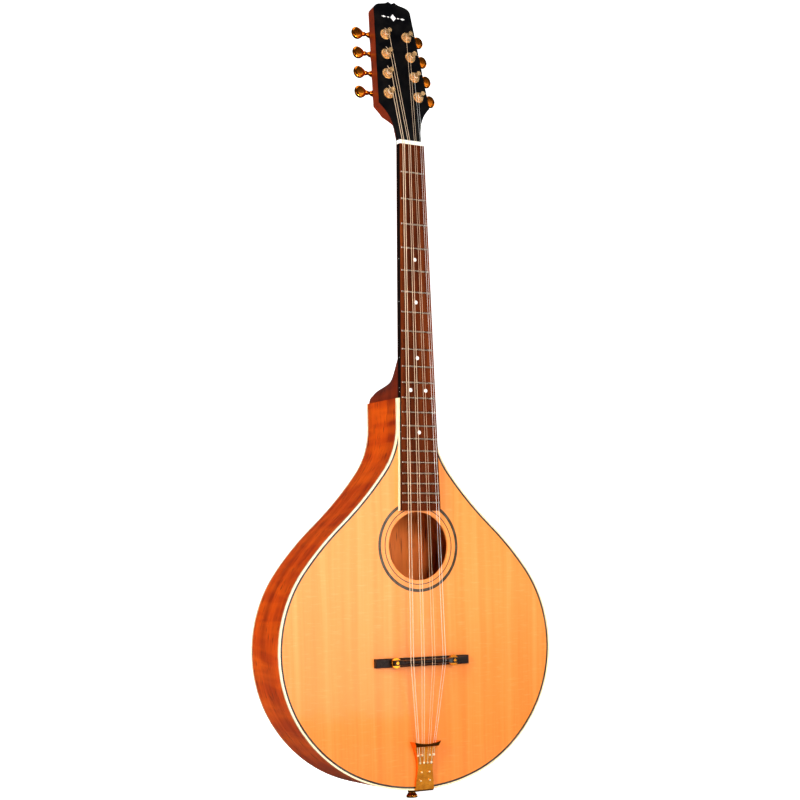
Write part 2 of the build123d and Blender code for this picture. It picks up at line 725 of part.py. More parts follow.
with BuildPart() as headstock_inlay:
    with BuildSketch(overlay_face):
        for x, half_width, half_height in INLAY_DIAMONDS:
            with Locations((x, INLAY_HEIGHT)):
                Polygon((half_width, 0), (0, half_height), (-half_width, 0), (0, -half_height), align=None)
    extrude(amount=-INLAY_DEPTH)
headstock_inlay.part.label = "headstock_inlay"
export_step(headstock_inlay.part.moved(STAND), "parts/headstock_inlay.step")

# Position markers sit midway between two frets
dot_spots = []
for number in SINGLE_DOT_FRETS:
    dot_spots.append((0, (fret_place(number) + fret_place(number - 1)) / 2))
double_dot_place = (fret_place(DOUBLE_DOT_FRET) + fret_place(DOUBLE_DOT_FRET - 1)) / 2
side_dot_places = [place for x, place in dot_spots]
for side in SIDES:
    dot_spots.append((side * DOUBLE_DOT_SPACING / 2, double_dot_place))
    side_dot_places.append(double_dot_place + side * SIDE_DOT_PAIR / 2)


# Short plugs in the bass edge of the fingerboard
with BuildPart() as side_dots:
    for place in side_dot_places:
        edge = between_nut_and_end(BOARD_HALF_NUT, BOARD_HALF_END, place)
        thickness = BOARD_THICKNESS if place > 0 else BOARD_THICKNESS - RISER_HEIGHT
        with BuildSketch(lengthwise(board_face, -edge, place, -thickness / 2)):
            Circle(SIDE_DOT_RADIUS)
        extrude(amount=SIDE_DOT_DEPTH)
side_dots.part.label = "side_dots"
export_step(side_dots.part.moved(STAND), "parts/side_dots.step")

# Fingerboard: full thickness on the neck, thinner over the body, where it lies on the riser
with BuildPart() as fingerboard:
    with BuildSketch(neck_top):
        add(board_plan())
        with Locations((0, -SPAN / 2)):
            Rectangle(SPAN, SPAN, mode=Mode.SUBTRACT)
    extrude(amount=BOARD_THICKNESS)
    with BuildSketch(neck_top.offset(RISER_HEIGHT)):
        add(board_plan())
    extrude(amount=BOARD_THICKNESS - RISER_HEIGHT)
    with BuildSketch(board_face):
        for number in range(1, FRET_COUNT + 1):
            with Locations((0, fret_place(number))):
                Rectangle(2 * fret_half(number), TANG_WIDTH)
    extrude(amount=-TANG_DEPTH, mode=Mode.SUBTRACT)
    with BuildSketch(board_face):
        with Locations(*dot_spots):
            Circle(DOT_RADIUS)
    extrude(amount=-DOT_DEPTH, mode=Mode.SUBTRACT)
    add(side_dots.part, mode=Mode.SUBTRACT)
fingerboard.part.label = "fingerboard"
export_step(fingerboard.part.moved(STAND), "parts/fingerboard.step")

with BuildPart() as fingerboard_riser:
    with BuildSketch(neck_top.offset(RISER_HEIGHT)):
        add(board_plan())
        with Locations((0, SPAN / 2)):
            Rectangle(SPAN, SPAN, mode=Mode.SUBTRACT)
    extrude(amount=-2 * RISER_HEIGHT)
    with Locations((0, SPAN / 2, BODY_LENGTH)):
        Box(SPAN, SPAN, SPAN, mode=Mode.SUBTRACT)
    with Locations((0, 0, BODY_LENGTH + SPAN / 2)):
        Box(SPAN, SPAN, SPAN, mode=Mode.SUBTRACT)
fingerboard_riser.part.label = "fingerboard_riser"
export_step(fingerboard_riser.part.moved(STAND), "parts/fingerboard_riser.step")

with BuildPart() as fret_dots:
    with BuildSketch(board_face):
        with Locations(*dot_spots):
            Circle(DOT_RADIUS)
    extrude(amount=-DOT_DEPTH)
fret_dots.part.label = "fret_dots"
export_step(fret_dots.part.moved(STAND), "parts/fret_dots.step")

# Each fret has a rounded crown on the board and a tang in its slot
with BuildPart() as frets:
    for number in range(1, FRET_COUNT + 1):
        with BuildSketch(lengthwise(board_face, 0, fret_place(number), 0)):
            with BuildLine():
                crown = ThreePointArc((-CROWN_WIDTH / 2, 0), (0, CROWN_HEIGHT), (CROWN_WIDTH / 2, 0))
                Polyline(
                    crown @ 1,
                    (TANG_WIDTH / 2, 0),
                    (TANG_WIDTH / 2, -TANG_DEPTH),
                    (-TANG_WIDTH / 2, -TANG_DEPTH),
                    (-TANG_WIDTH / 2, 0),
                    crown @ 0,
                )
            make_face()
        extrude(amount=fret_half(number), both=True)
frets.part.label = "frets"
export_step(frets.part.moved(STAND), "parts/frets.step")

# Nut, with a groove following each string over it
with BuildPart() as nut:
    nut_crest = NUT_BEARING + GROOVE_DEPTH
    with BuildSketch(lengthwise(neck_top, 0, HALF_SCALE, 0)):
        with BuildLine():
            Polyline(
                (0, 0),
                (NUT_THICKNESS, 0),
                (NUT_THICKNESS, nut_crest - NUT_FALL * NUT_THICKNESS),
                (0, nut_crest),
                close=True,
            )
        make_face()
    extrude(amount=BOARD_HALF_NUT, both=True)
    with BuildPart(mode=Mode.PRIVATE) as grooves:
        for radius, nut_point, saddle_point, pin, site in strings:
            add(rod(nut_point, string_winding_point(radius, site), radius + GROOVE_CLEARANCE))
    add(grooves.part, mode=Mode.SUBTRACT)
nut.part.label = "nut"
export_step(nut.part.moved(STAND), "parts/nut.step")

# Bridge: a foot on the soundboard, two threaded studs, two thumbwheels and a saddle bar
with BuildPart() as bridge_base:
    with BuildSketch(behind(0)):
        with Locations((0, BRIDGE_Z)):
            Rectangle(BRIDGE_LENGTH, BRIDGE_WIDTH)
    extrude(amount=BRIDGE_HEIGHT)
    chamfer(faces().sort_by(Axis.Y)[0].edges(), BRIDGE_CHAMFER)
    with BuildSketch(behind(-BRIDGE_HEIGHT)):
        with Locations((0, BRIDGE_Z)):
            with GridLocations(STUD_SPACING, 0, 2, 1):
                Circle(STUD_RADIUS)
    extrude(amount=STUD_ROOT - BRIDGE_HEIGHT, mode=Mode.SUBTRACT)
bridge_base.part.label = "bridge_base"
export_step(bridge_base.part.moved(STAND), "parts/bridge_base.step")

with BuildPart() as bridge_studs:
    with BuildSketch(behind(-STUD_ROOT)):
        with Locations((0, BRIDGE_Z)):
            with GridLocations(STUD_SPACING, 0, 2, 1):
                Circle(STUD_RADIUS)
    extrude(amount=STUD_TIP - STUD_ROOT)
bridge_studs.part.label = "bridge_studs"
export_step(bridge_studs.part.moved(STAND), "parts/bridge_studs.step")

for name, side in (("bridge_wheel_bass", -1), ("bridge_wheel_treble", 1)):
    with BuildPart() as wheel:
        with BuildSketch(behind(WHEEL_THICKNESS - SADDLE_UNDERSIDE)):
            with Locations((side * STUD_SPACING / 2, BRIDGE_Z)):
                Circle(WHEEL_RADIUS)
                Circle(STUD_RADIUS + RUNNING_CLEARANCE, mode=Mode.SUBTRACT)
                with PolarLocations(WHEEL_RADIUS, WHEEL_NOTCHES):
                    Circle(WHEEL_NOTCH_RADIUS, mode=Mode.SUBTRACT)
        extrude(amount=WHEEL_THICKNESS)
    wheel.part.label = name
    export_step(wheel.part.moved(STAND), f"parts/{name}.step")

with BuildPart() as bridge_saddle:
    crest = SADDLE_TOP + GROOVE_DEPTH
    with BuildSketch(Plane.YZ):
        with BuildLine():
            crown = ThreePointArc(
                (SADDLE_CROWN_DROP - crest, BRIDGE_Z - SADDLE_CROWN_WIDTH / 2),
                (-crest, BRIDGE_Z),
                (SADDLE_CROWN_DROP - crest, BRIDGE_Z + SADDLE_CROWN_WIDTH / 2),
            )
            Polyline(
                crown @ 1,
                (-SADDLE_UNDERSIDE, BRIDGE_Z + SADDLE_WIDTH / 2),
                (-SADDLE_UNDERSIDE, BRIDGE_Z - SADDLE_WIDTH / 2),
                crown @ 0,
            )
        make_face()
    extrude(amount=SADDLE_HALF_LENGTH, both=True)
    with BuildSketch(Plane.XY.offset(BRIDGE_Z - SADDLE_WIDTH)):
        for side in SIDES:
            with BuildLine():
                Polyline(
                    (side * SADDLE_HALF_LENGTH, -crest),
                    (side * SADDLE_HALF_LENGTH, -SADDLE_UNDERSIDE - SADDLE_END_HEIGHT),
                    (side * (SADDLE_HALF_LENGTH - 8), -SADDLE_UNDERSIDE - SADDLE_END_HEIGHT),
                    (side * (SADDLE_HALF_LENGTH - 16), -crest),
                    close=True,
                )
            make_face()
    extrude(amount=2 * SADDLE_WIDTH, mode=Mode.SUBTRACT)
    with BuildSketch(behind(-SADDLE_UNDERSIDE)):
        with Locations((0, BRIDGE_Z)):
            with GridLocations(STUD_SPACING, 0, 2, 1):
                Circle(STUD_RADIUS + SADDLE_CLEARANCE)
    extrude(amount=SADDLE_BORE_DEPTH, mode=Mode.SUBTRACT)
    with BuildPart(mode=Mode.PRIVATE) as grooves:
        for radius, nut_point, saddle_point, (pin_x, pin_z), site in strings:
            hook = (pin_x, -panel_height(pin_z) - PIN_HEIGHT / 2, pin_z)
            add(rod(saddle_point, hook, radius + GROOVE_CLEARANCE))
            add(rod(saddle_point, nut_point, radius + GROOVE_CLEARANCE))
    add(grooves.part, mode=Mode.SUBTRACT)
bridge_saddle.part.label = "bridge_saddle"
export_step(bridge_saddle.part.moved(STAND), "parts/bridge_saddle.step")

# Strings, from the hook pins over saddle and nut to just short of their windings
course_names = ("strings_bass", "strings_second", "strings_third", "strings_treble")
for course, name in enumerate(course_names):
    with BuildPart() as course_pair:
        for radius, nut_point, saddle_point, (pin_x, pin_z), site in strings[2 * course : 2 * course + 2]:
            hook = Vector(pin_x, -panel_height(pin_z) - PIN_HEIGHT / 2, pin_z)
            loop_side = hook + (saddle_point - hook).normalized() * LOOP_RADIUS
            winding = string_winding_point(radius, site)
            head_end = winding + (nut_point - winding).normalized() * STRING_END_GAP
            add(rod(saddle_point, loop_side, radius))
            add(rod(saddle_point, nut_point, radius))
            add(rod(nut_point, head_end, radius))
            with Locations(Plane(origin=hook, z_dir=(0, -1, 0))):
                Torus(LOOP_RADIUS, LOOP_WIRE_RADIUS)
    course_pair.part.label = name
    export_step(course_pair.part.moved(STAND), f"parts/{name}.step")

# Tailpiece: one bent plate, narrow at the waist, with a hood over the string ends
with BuildPart() as tailpiece_plate:
    foot_height, foot_z = PANEL_FOOT
    head_height, head_z = PANEL_HEAD
    with BuildSketch(Plane.YZ):
        with BuildLine():
            Polyline(
                (-TAIL_LIFT, -PLATE_GAUGE),
                (-PLATE_GAUGE / 2, -PLATE_GAUGE),
                (-foot_height, foot_z),
                (-head_height, head_z),
                (-HOOD_HEIGHT - PLATE_GAUGE, head_z + PLATE_GAUGE),
                (-HOOD_HEIGHT - PLATE_GAUGE - HOOD_RISE, TAIL_TOP_Z),
                (-TAIL_LIFT, TAIL_TOP_Z),
                close=True,
            )
        make_face()
    extrude(amount=SPAN / 2, both=True)
    with BuildSketch(behind(0)):
        add(tail_plan(0))
    extrude(amount=SPAN, mode=Mode.INTERSECT)
    with BuildPart(mode=Mode.PRIVATE) as hollow:
        with BuildSketch(Plane.YZ):
            with BuildLine():
                Polyline(
                    (0, foot_z),
                    (PLATE_GAUGE - foot_height, foot_z + PLATE_GAUGE / 2),
                    (PLATE_GAUGE - head_height, head_z),
                    (-head_height, head_z),
                    (-head_height, head_z - PLATE_GAUGE),
                    (-HOOD_HEIGHT, head_z - PLATE_GAUGE),
                    (-HOOD_HEIGHT - HOOD_RISE, TAIL_TOP_Z + PLATE_GAUGE),
                    (0, TAIL_TOP_Z + PLATE_GAUGE),
                    close=True,
                )
            make_face()
        extrude(amount=SPAN / 2, both=True)
        with BuildSketch(behind(0)):
            add(tail_plan(TAIL_WALL))
            with Locations((0, TAIL_TOP_Z)):
                Rectangle(2 * HOOD_HALF_OPENING, 4 * TAIL_TOP_DIP)
        extrude(amount=SPAN, mode=Mode.INTERSECT)
    add(hollow.part, mode=Mode.SUBTRACT)
    with BuildSketch(Plane.XY.offset(-PLATE_GAUGE)):
        with BuildLine():
            Polyline(
                (-TAIL_HALF_BOTTOM, -PLATE_GAUGE / 2),
                (TAIL_HALF_BOTTOM, -PLATE_GAUGE / 2),
                (LEG_HALF_WIDTH, END_PIN_Y),
                (LEG_HALF_WIDTH, LEG_LENGTH),
                (-LEG_HALF_WIDTH, LEG_LENGTH),
                (-LEG_HALF_WIDTH, END_PIN_Y),
                close=True,
            )
        make_face()
        with Locations((0, END_PIN_Y)):
            Circle(END_PIN_RADIUS, mode=Mode.SUBTRACT)
        with Locations((0, LEG_SCREW_Y)):
            with GridLocations(LEG_SCREW_SPACING, 0, 2, 1):
                Circle(SCREW_RADIUS, mode=Mode.SUBTRACT)
    extrude(amount=PLATE_GAUGE)
tailpiece_plate.part.label = "tailpiece_plate"
export_step(tailpiece_plate.part.moved(STAND), "parts/tailpiece_plate.step")

with BuildPart() as tailpiece_pins:
    for x, z in HOOK_PINS:
        with BuildSketch(behind(-panel_height(z) + PLATE_GAUGE / 10)):
            with Locations((x, z), (-x, z)):
                Circle(PIN_RADIUS)
        extrude(amount=PIN_HEIGHT)
    add(tailpiece_plate.part, mode=Mode.SUBTRACT)
tailpiece_pins.part.label = "tailpiece_pins"
export_step(tailpiece_pins.part.moved(STAND), "parts/tailpiece_pins.step")

with BuildPart() as tailpiece_screws:
    with BuildSketch(Plane.XY.offset(-PLATE_GAUGE)):
        with Locations((0, LEG_SCREW_Y)):
            with GridLocations(LEG_SCREW_SPACING, 0, 2, 1):
                Circle(SCREW_RADIUS)
    extrude(amount=PLATE_GAUGE + SCREW_LENGTH)
    with BuildSketch(Plane.XY.offset(-PLATE_GAUGE)):
        with Locations((0, LEG_SCREW_Y)):
            with GridLocations(LEG_SCREW_SPACING, 0, 2, 1):
                Circle(SCREW_HEAD_RADIUS)
    extrude(amount=-SCREW_HEAD_HEIGHT)
    fillet(faces().sort_by(Axis.Z)[:2].edges(), SCREW_HEAD_HEIGHT / 2)
tailpiece_screws.part.label = "tailpiece_screws"
export_step(tailpiece_screws.part.moved(STAND), "parts/tailpiece_screws.step")

with BuildPart() as end_pin:
    with BuildSketch(Plane.XZ.offset(-END_PIN_Y)):
        with BuildLine():
            Polyline(
                (0, END_PIN_LENGTH),
                (END_PIN_RADIUS, END_PIN_LENGTH),
                (END_PIN_RADIUS, -PLATE_GAUGE),
                (END_PIN_HEAD_RADIUS - 1, -PLATE_GAUGE),
                (END_PIN_HEAD_RADIUS - 1, -2 * PLATE_GAUGE),
                (END_PIN_WAIST_RADIUS, -END_PIN_REACH / 2),
                (END_PIN_HEAD_RADIUS, END_PIN_HEAD_LENGTH - END_PIN_REACH),
                (END_PIN_HEAD_RADIUS, -END_PIN_REACH),
                (0, -END_PIN_REACH),
                close=True,
            )
        make_face()
    revolve(axis=Axis((0, END_PIN_Y, 0), (0, 0, 1)))
end_pin.part.label = "end_pin"
export_step(end_pin.part.moved(STAND), "parts/end_pin.step")

# Tuning machine parts fixed to the headstock
with BuildPart() as tuner_washers:
    with BuildSketch(overlay_face):
        with Locations(*post_spots):
            Circle(WASHER_RADIUS)
            Circle(BUSHING_HOLE_RADIUS, mode=Mode.SUBTRACT)
    extrude(amount=WASHER_THICKNESS)
tuner_washers.part.label = "tuner_washers"
export_step(tuner_washers.part.moved(STAND), "parts/tuner_washers.step")

with BuildPart() as tuner_bushings:
    with BuildSketch(overlay_face.offset(WASHER_THICKNESS)):
        with Locations(*post_spots):
            RegularPolygon(BUSHING_CORNER_RADIUS, 6)
    extrude(amount=BUSHING_THICKNESS)
    with BuildSketch(overlay_face.offset(WASHER_THICKNESS)):
        with Locations(*post_spots):
            Circle(BUSHING_SLEEVE_RADIUS)
    extrude(amount=-BUSHING_SLEEVE_LENGTH)
    with BuildSketch(overlay_face.offset(WASHER_THICKNESS + BUSHING_THICKNESS)):
        with Locations(*post_spots):
            Circle(POST_RADIUS + RUNNING_CLEARANCE)
    extrude(amount=-BUSHING_SLEEVE_LENGTH - BUSHING_THICKNESS, mode=Mode.SUBTRACT)
tuner_bushings.part.label = "tuner_bushings"
export_step(tuner_bushings.part.moved(STAND), "parts/tuner_bushings.step")

with BuildPart() as tuner_housings:
    low, high = HOUSING_REACH
    for x, distance, side in tuner_sites:
        with BuildSketch(head_back):
            with Locations((x, distance + (low + high) / 2)):
                RectangleRounded(2 * HOUSING_HALF_WIDTH, high - low, HOUSING_FILLET)
        extrude(amount=-HOUSING_DEPTH)
    fillet(faces().sort_by(Axis(head_back.origin, head_back.z_dir))[: 2 * TUNER_ROWS].edges(), HOUSING_WALL)
    for x, distance, side in tuner_sites:
        with BuildSketch(key_frame(x, distance, side)):
            Circle(COLLAR_RADIUS)
        extrude(amount=COLLAR_END)
        with BuildSketch(head_back):
            with Locations((x, distance + EAR_OFFSET)):
                Circle(EAR_RADIUS)
            with Locations((x, distance + (EAR_OFFSET + low) / 2)):
                Rectangle(2 * EAR_RADIUS, low - EAR_OFFSET + HOUSING_WALL)
            with Locations((x, distance + EAR_OFFSET)):
                Circle(SCREW_RADIUS, mode=Mode.SUBTRACT)
        extrude(amount=-EAR_THICKNESS)
    for x, distance, side in tuner_sites:
        with BuildSketch(head_back):
            with Locations((x, distance + (low + high) / 2)):
                Rectangle(2 * (HOUSING_HALF_WIDTH - HOUSING_WALL), high - low - 2 * HOUSING_WALL)
        extrude(amount=HOUSING_WALL - HOUSING_DEPTH, mode=Mode.SUBTRACT)
        with BuildSketch(key_frame(x, distance, side)):
            Circle(KEY_RADIUS + RUNNING_CLEARANCE)
        extrude(amount=COLLAR_END, mode=Mode.SUBTRACT)
        with BuildSketch(key_frame(x, distance, side)):
            Circle(KEY_STUB_RADIUS + RUNNING_CLEARANCE)
        extrude(amount=-HOUSING_HALF_WIDTH, mode=Mode.SUBTRACT)
        with BuildSketch(head_back.offset(-HOUSING_DEPTH)):
            with Locations((x, distance)):
                Circle(POST_FOOT_RADIUS + RUNNING_CLEARANCE)
        extrude(amount=HOUSING_WALL, mode=Mode.SUBTRACT)
tuner_housings.part.label = "tuner_housings"
export_step(tuner_housings.part.moved(STAND), "parts/tuner_housings.step")

with BuildPart() as tuner_screws:
    with BuildSketch(head_back.offset(-EAR_THICKNESS)):
        with Locations(*ear_spots):
            Circle(SCREW_RADIUS)
    extrude(amount=EAR_THICKNESS + SCREW_LENGTH)
    with BuildSketch(head_back.offset(-EAR_THICKNESS)):
        with Locations(*ear_spots):
            Circle(SCREW_HEAD_RADIUS)
    extrude(amount=-SCREW_HEAD_HEIGHT)
tuner_screws.part.label = "tuner_screws"
export_step(tuner_screws.part.moved(STAND), "parts/tuner_screws.step")

# Each key is a worm shaft carrying a button
for number, (x, distance, side) in enumerate(tuner_sites, 1):
    with BuildPart() as key:
        axis_plane = key_frame(x, distance, side)
        with BuildSketch(axis_plane.offset(-HOUSING_HALF_WIDTH)):
            Circle(KEY_STUB_RADIUS)
        extrude(amount=HOUSING_HALF_WIDTH)
        with BuildSketch(axis_plane.offset(-WORM_LENGTH / 2)):
            Circle(WORM_CORE_RADIUS)
        extrude(amount=WORM_LENGTH)
        for ridge in range(WORM_RIDGES):
            place = (ridge + 0.5) * WORM_LENGTH / WORM_RIDGES - WORM_LENGTH / 2 - WORM_RIDGE_WIDTH / 2
            with BuildSketch(axis_plane.offset(place)):
                Circle(WORM_RADIUS)
            extrude(amount=WORM_RIDGE_WIDTH)
        with BuildSketch(axis_plane):
            Circle(KEY_RADIUS)
        extrude(amount=BUTTON_NECK + BUTTON_BORE_DEPTH)
        with BuildSketch(axis_plane.offset(COLLAR_END + RUNNING_CLEARANCE)):
            Circle(KEY_RADIUS + 1)
        extrude(amount=BUTTON_NECK - COLLAR_END - 2 * RUNNING_CLEARANCE)
        with BuildPart(mode=Mode.PRIVATE) as button:
            face = Plane(origin=axis_plane.origin, x_dir=(side, 0, 0), z_dir=head_back.z_dir)
            with BuildSketch(face.offset(-BUTTON_THICKNESS / 2)):
                with Locations((BUTTON_CENTRE, 0)):
                    Ellipse(BUTTON_HALF_LENGTH, BUTTON_HALF_HEIGHT)
                with BuildLine():
                    throat = Spline(
                        (BUTTON_NECK, BUTTON_NECK_HALF),
                        (BUTTON_CENTRE - BUTTON_HALF_LENGTH * 0.7, BUTTON_HALF_HEIGHT * 0.7),
                        tangents=((1, 0), (0.6, 0.8)),
                    )
                    mirror(throat, about=Plane.XZ)
                    Line(throat @ 0, (BUTTON_NECK, -BUTTON_NECK_HALF))
                    Line(throat @ 1, ((throat @ 1).X, -(throat @ 1).Y))
                make_face()
            extrude(amount=BUTTON_THICKNESS)
            chamfer(faces().filter_by(Plane(face.origin, z_dir=face.z_dir)).edges(), BUTTON_EDGE)
            with BuildSketch(axis_plane.offset(BUTTON_NECK)):
                Circle(KEY_RADIUS + FIXED_GAP)
            extrude(amount=BUTTON_BORE_DEPTH + FIXED_GAP, mode=Mode.SUBTRACT)
        add(button.part)
    key.part.label = f"tuner_key_{number}"
    export_step(key.part.moved(STAND), f"parts/tuner_key_{number}.step")

# Each post carries its worm wheel inside the housing and a few turns of string
for radius, nut_point, saddle_point, pin, site in strings:
    x, distance, side = tuner_sites[site]
    with BuildPart() as post:
        with BuildSketch(head_back.offset(-HOUSING_DEPTH)):
            with Locations((x, distance)):
                Circle(POST_FOOT_RADIUS)
        extrude(amount=HOUSING_DEPTH)
        with BuildSketch(head_back.offset(-KEY_DEPTH - GEAR_THICKNESS / 2)):
            with Locations((x, distance)):
                Circle(GEAR_ROOT_RADIUS)
                with PolarLocations((GEAR_ROOT_RADIUS + GEAR_TIP_RADIUS) / 2, GEAR_TEETH):
                    Rectangle(2 * (GEAR_TIP_RADIUS - GEAR_ROOT_RADIUS), TOOTH_WIDTH)
                Circle(GEAR_TIP_RADIUS, mode=Mode.INTERSECT)
        extrude(amount=GEAR_THICKNESS)
        with BuildSketch(head_back.offset(-KEY_DEPTH)):
            with Locations((x, distance)):
                Circle(POST_RADIUS)
        extrude(amount=KEY_DEPTH + HEAD_THICKNESS + POST_TOP)
        with BuildSketch(head_face.offset(WINDING_HEIGHT - POST_WAIST_LENGTH / 2)):
            with Locations((x, distance)):
                Circle(POST_RADIUS)
                Circle(POST_WAIST_RADIUS, mode=Mode.SUBTRACT)
        extrude(amount=POST_WAIST_LENGTH, mode=Mode.SUBTRACT)
        pitch = 2 * (radius + FIXED_GAP)
        for turn in range(WINDING_TURNS):
            height = WINDING_HEIGHT + (turn - (WINDING_TURNS - 1) / 2) * pitch
            centre = head_face.from_local_coords((x, distance, height))
            with Locations(Plane(origin=centre, z_dir=head_face.z_dir)):
                Torus(POST_WAIST_RADIUS + FIXED_GAP + radius, radius)
    post.part.label = f"tuner_post_{site + 1}"
    export_step(post.part.moved(STAND), f"parts/tuner_post_{site + 1}.step")
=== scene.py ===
"""A bouzouki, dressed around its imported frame: lacquered woods, gold-plated metal, bone and wound strings."""

import json
from math import cos, pi, radians, sin, tau

import bmesh
import bpy
from mathutils import Matrix, Vector


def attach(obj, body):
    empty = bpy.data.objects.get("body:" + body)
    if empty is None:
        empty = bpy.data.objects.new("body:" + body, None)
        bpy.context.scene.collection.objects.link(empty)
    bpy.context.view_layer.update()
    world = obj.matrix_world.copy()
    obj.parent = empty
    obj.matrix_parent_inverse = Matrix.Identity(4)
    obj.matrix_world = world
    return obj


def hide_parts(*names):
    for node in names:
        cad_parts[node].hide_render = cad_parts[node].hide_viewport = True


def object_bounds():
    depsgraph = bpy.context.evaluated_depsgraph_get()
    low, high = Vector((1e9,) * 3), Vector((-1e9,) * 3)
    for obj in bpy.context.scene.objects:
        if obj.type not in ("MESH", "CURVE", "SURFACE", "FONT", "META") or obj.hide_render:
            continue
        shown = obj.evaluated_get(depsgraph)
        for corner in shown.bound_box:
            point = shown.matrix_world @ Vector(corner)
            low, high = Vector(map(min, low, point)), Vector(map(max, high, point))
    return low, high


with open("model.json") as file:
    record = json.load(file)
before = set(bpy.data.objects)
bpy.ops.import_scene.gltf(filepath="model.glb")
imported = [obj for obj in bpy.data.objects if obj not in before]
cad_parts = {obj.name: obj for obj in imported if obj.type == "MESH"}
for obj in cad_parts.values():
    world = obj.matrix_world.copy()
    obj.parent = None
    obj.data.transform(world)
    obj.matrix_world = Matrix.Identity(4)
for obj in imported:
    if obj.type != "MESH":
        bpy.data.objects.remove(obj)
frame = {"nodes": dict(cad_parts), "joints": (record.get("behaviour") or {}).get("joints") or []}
cad_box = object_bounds()

MM = 0.001
TUNERS = 8
SIDE_TUNERS = 4
SHARP = radians(32)
EDGE_SEGMENTS = 3
TURNED_SEGMENTS = 32
WIRE_SEGMENTS = 8

# ---------------------------------------------------------------- node graphs


class Graph:
    """A small helper that lays out one material's nodes and links them."""

    def __init__(self, name):
        self.material = bpy.data.materials.new(name)
        self.material.use_nodes = True
        self.tree = self.material.node_tree
        self.shader = self.tree.nodes["Principled BSDF"]
        self.place = self.node("ShaderNodeTexCoord").outputs["Object"]

    def node(self, kind, inputs=None, **settings):
        made = self.tree.nodes.new(kind)
        for key, value in settings.items():
            setattr(made, key, value)
        for key, value in (inputs or {}).items():
            self.feed(made.inputs[key], value)
        return made

    def feed(self, socket, value):
        if isinstance(value, bpy.types.NodeSocket):
            self.tree.links.new(value, socket)
        else:
            socket.default_value = value

    def math(self, operation, first, second=0.0):
        return self.node("ShaderNodeMath", {0: first, 1: second}, operation=operation).outputs[0]

    def axes(self):
        """Separate X, Y and Z of the place on the object, in metres."""
        return self.node("ShaderNodeSeparateXYZ", {0: self.place}).outputs

    def join(self, x, y, z):
        return self.node("ShaderNodeCombineXYZ", {0: x, 1: y, 2: z}).outputs[0]

    def stretched(self, scale, source=None):
        """The place, scaled separately along each axis."""
        start = self.place if source is None else source
        return self.node("ShaderNodeVectorMath", {0: start, 1: scale}, operation="MULTIPLY").outputs[0]

    def noise(self, vector, scale, detail=4.0, rough=0.55, twist=0.0):
        inputs = {"Vector": vector, "Scale": scale, "Detail": detail, "Roughness": rough, "Distortion": twist}
        return self.node("ShaderNodeTexNoise", inputs).outputs["Fac"]

    def ramp(self, value, stops):
        """Colour ramp from (place, colour) stops."""
        made = self.node("ShaderNodeValToRGB", {0: value})
        line = made.color_ramp
        while len(line.elements) < len(stops):
            line.elements.new(0.5)
        for element, (place, colour) in zip(line.elements, stops):
            element.position = place
            element.color = (*colour, 1.0)
        return made.outputs[0]

    def levels(self, value, low, high, out_low=0.0, out_high=1.0):
        """Value remapped from one range to another, and clamped."""
        inputs = {"Value": value, 1: low, 2: high, 3: out_low, 4: out_high}
        return self.node("ShaderNodeMapRange", inputs).outputs[0]

    def mix(self, share, first, second, blend="MIX"):
        made = self.node("ShaderNodeMix", data_type="RGBA", blend_type=blend)
        self.feed(made.inputs[0], share)
        self.feed(made.inputs[6], first if isinstance(first, bpy.types.NodeSocket) else (*first, 1.0))
        self.feed(made.inputs[7], second if isinstance(second, bpy.types.NodeSocket) else (*second, 1.0))
        return made.outputs[2]

    def bump(self, height, strength, distance):
        inputs = {"Height": height, "Strength": strength, "Distance": distance}
        return self.node("ShaderNodeBump", inputs).outputs[0]

    def finish(self, colour, rough, **others):
        """Feeds the shader. Other keys are its input names with underscores for spaces."""
        self.feed(self.shader.inputs["Base Color"], colour)
        self.feed(self.shader.inputs["Roughness"], rough)
        for key, value in others.items():
            self.feed(self.shader.inputs[key.replace("_", " ")], value)
        return self.material


def lacquer(graph, depth, rough):
    """Clear coat over a wood, with the faint waviness of sprayed and buffed lacquer."""
    wave = graph.noise(graph.place, 55.0, 2.0, 0.4)
    inputs = graph.shader.inputs
    graph.feed(inputs["Coat Weight"], depth)
    graph.feed(inputs["Coat Roughness"], rough)
    graph.feed(inputs["Coat IOR"], 1.5)
    graph.feed(inputs["Coat Normal"], graph.bump(wave, 0.05, 0.002))


# ---------------------------------------------------------------- woods

RING_TURNS = 2900.0  # radians of growth ring per metre across the soundboard
SAW_TURNS = 3800.0  # radians of saw mark per metre
SEAM_HALF = 0.25 * MM
# Painted shade on the soundboard, where less light falls towards the bottom: deepest at the tail, and none
# above this height over the end pin, in metres
SHADE_FULL, SHADE_NONE = 0.02, 0.26
TAIL_SHADE = (0.86, 0.71, 0.32)


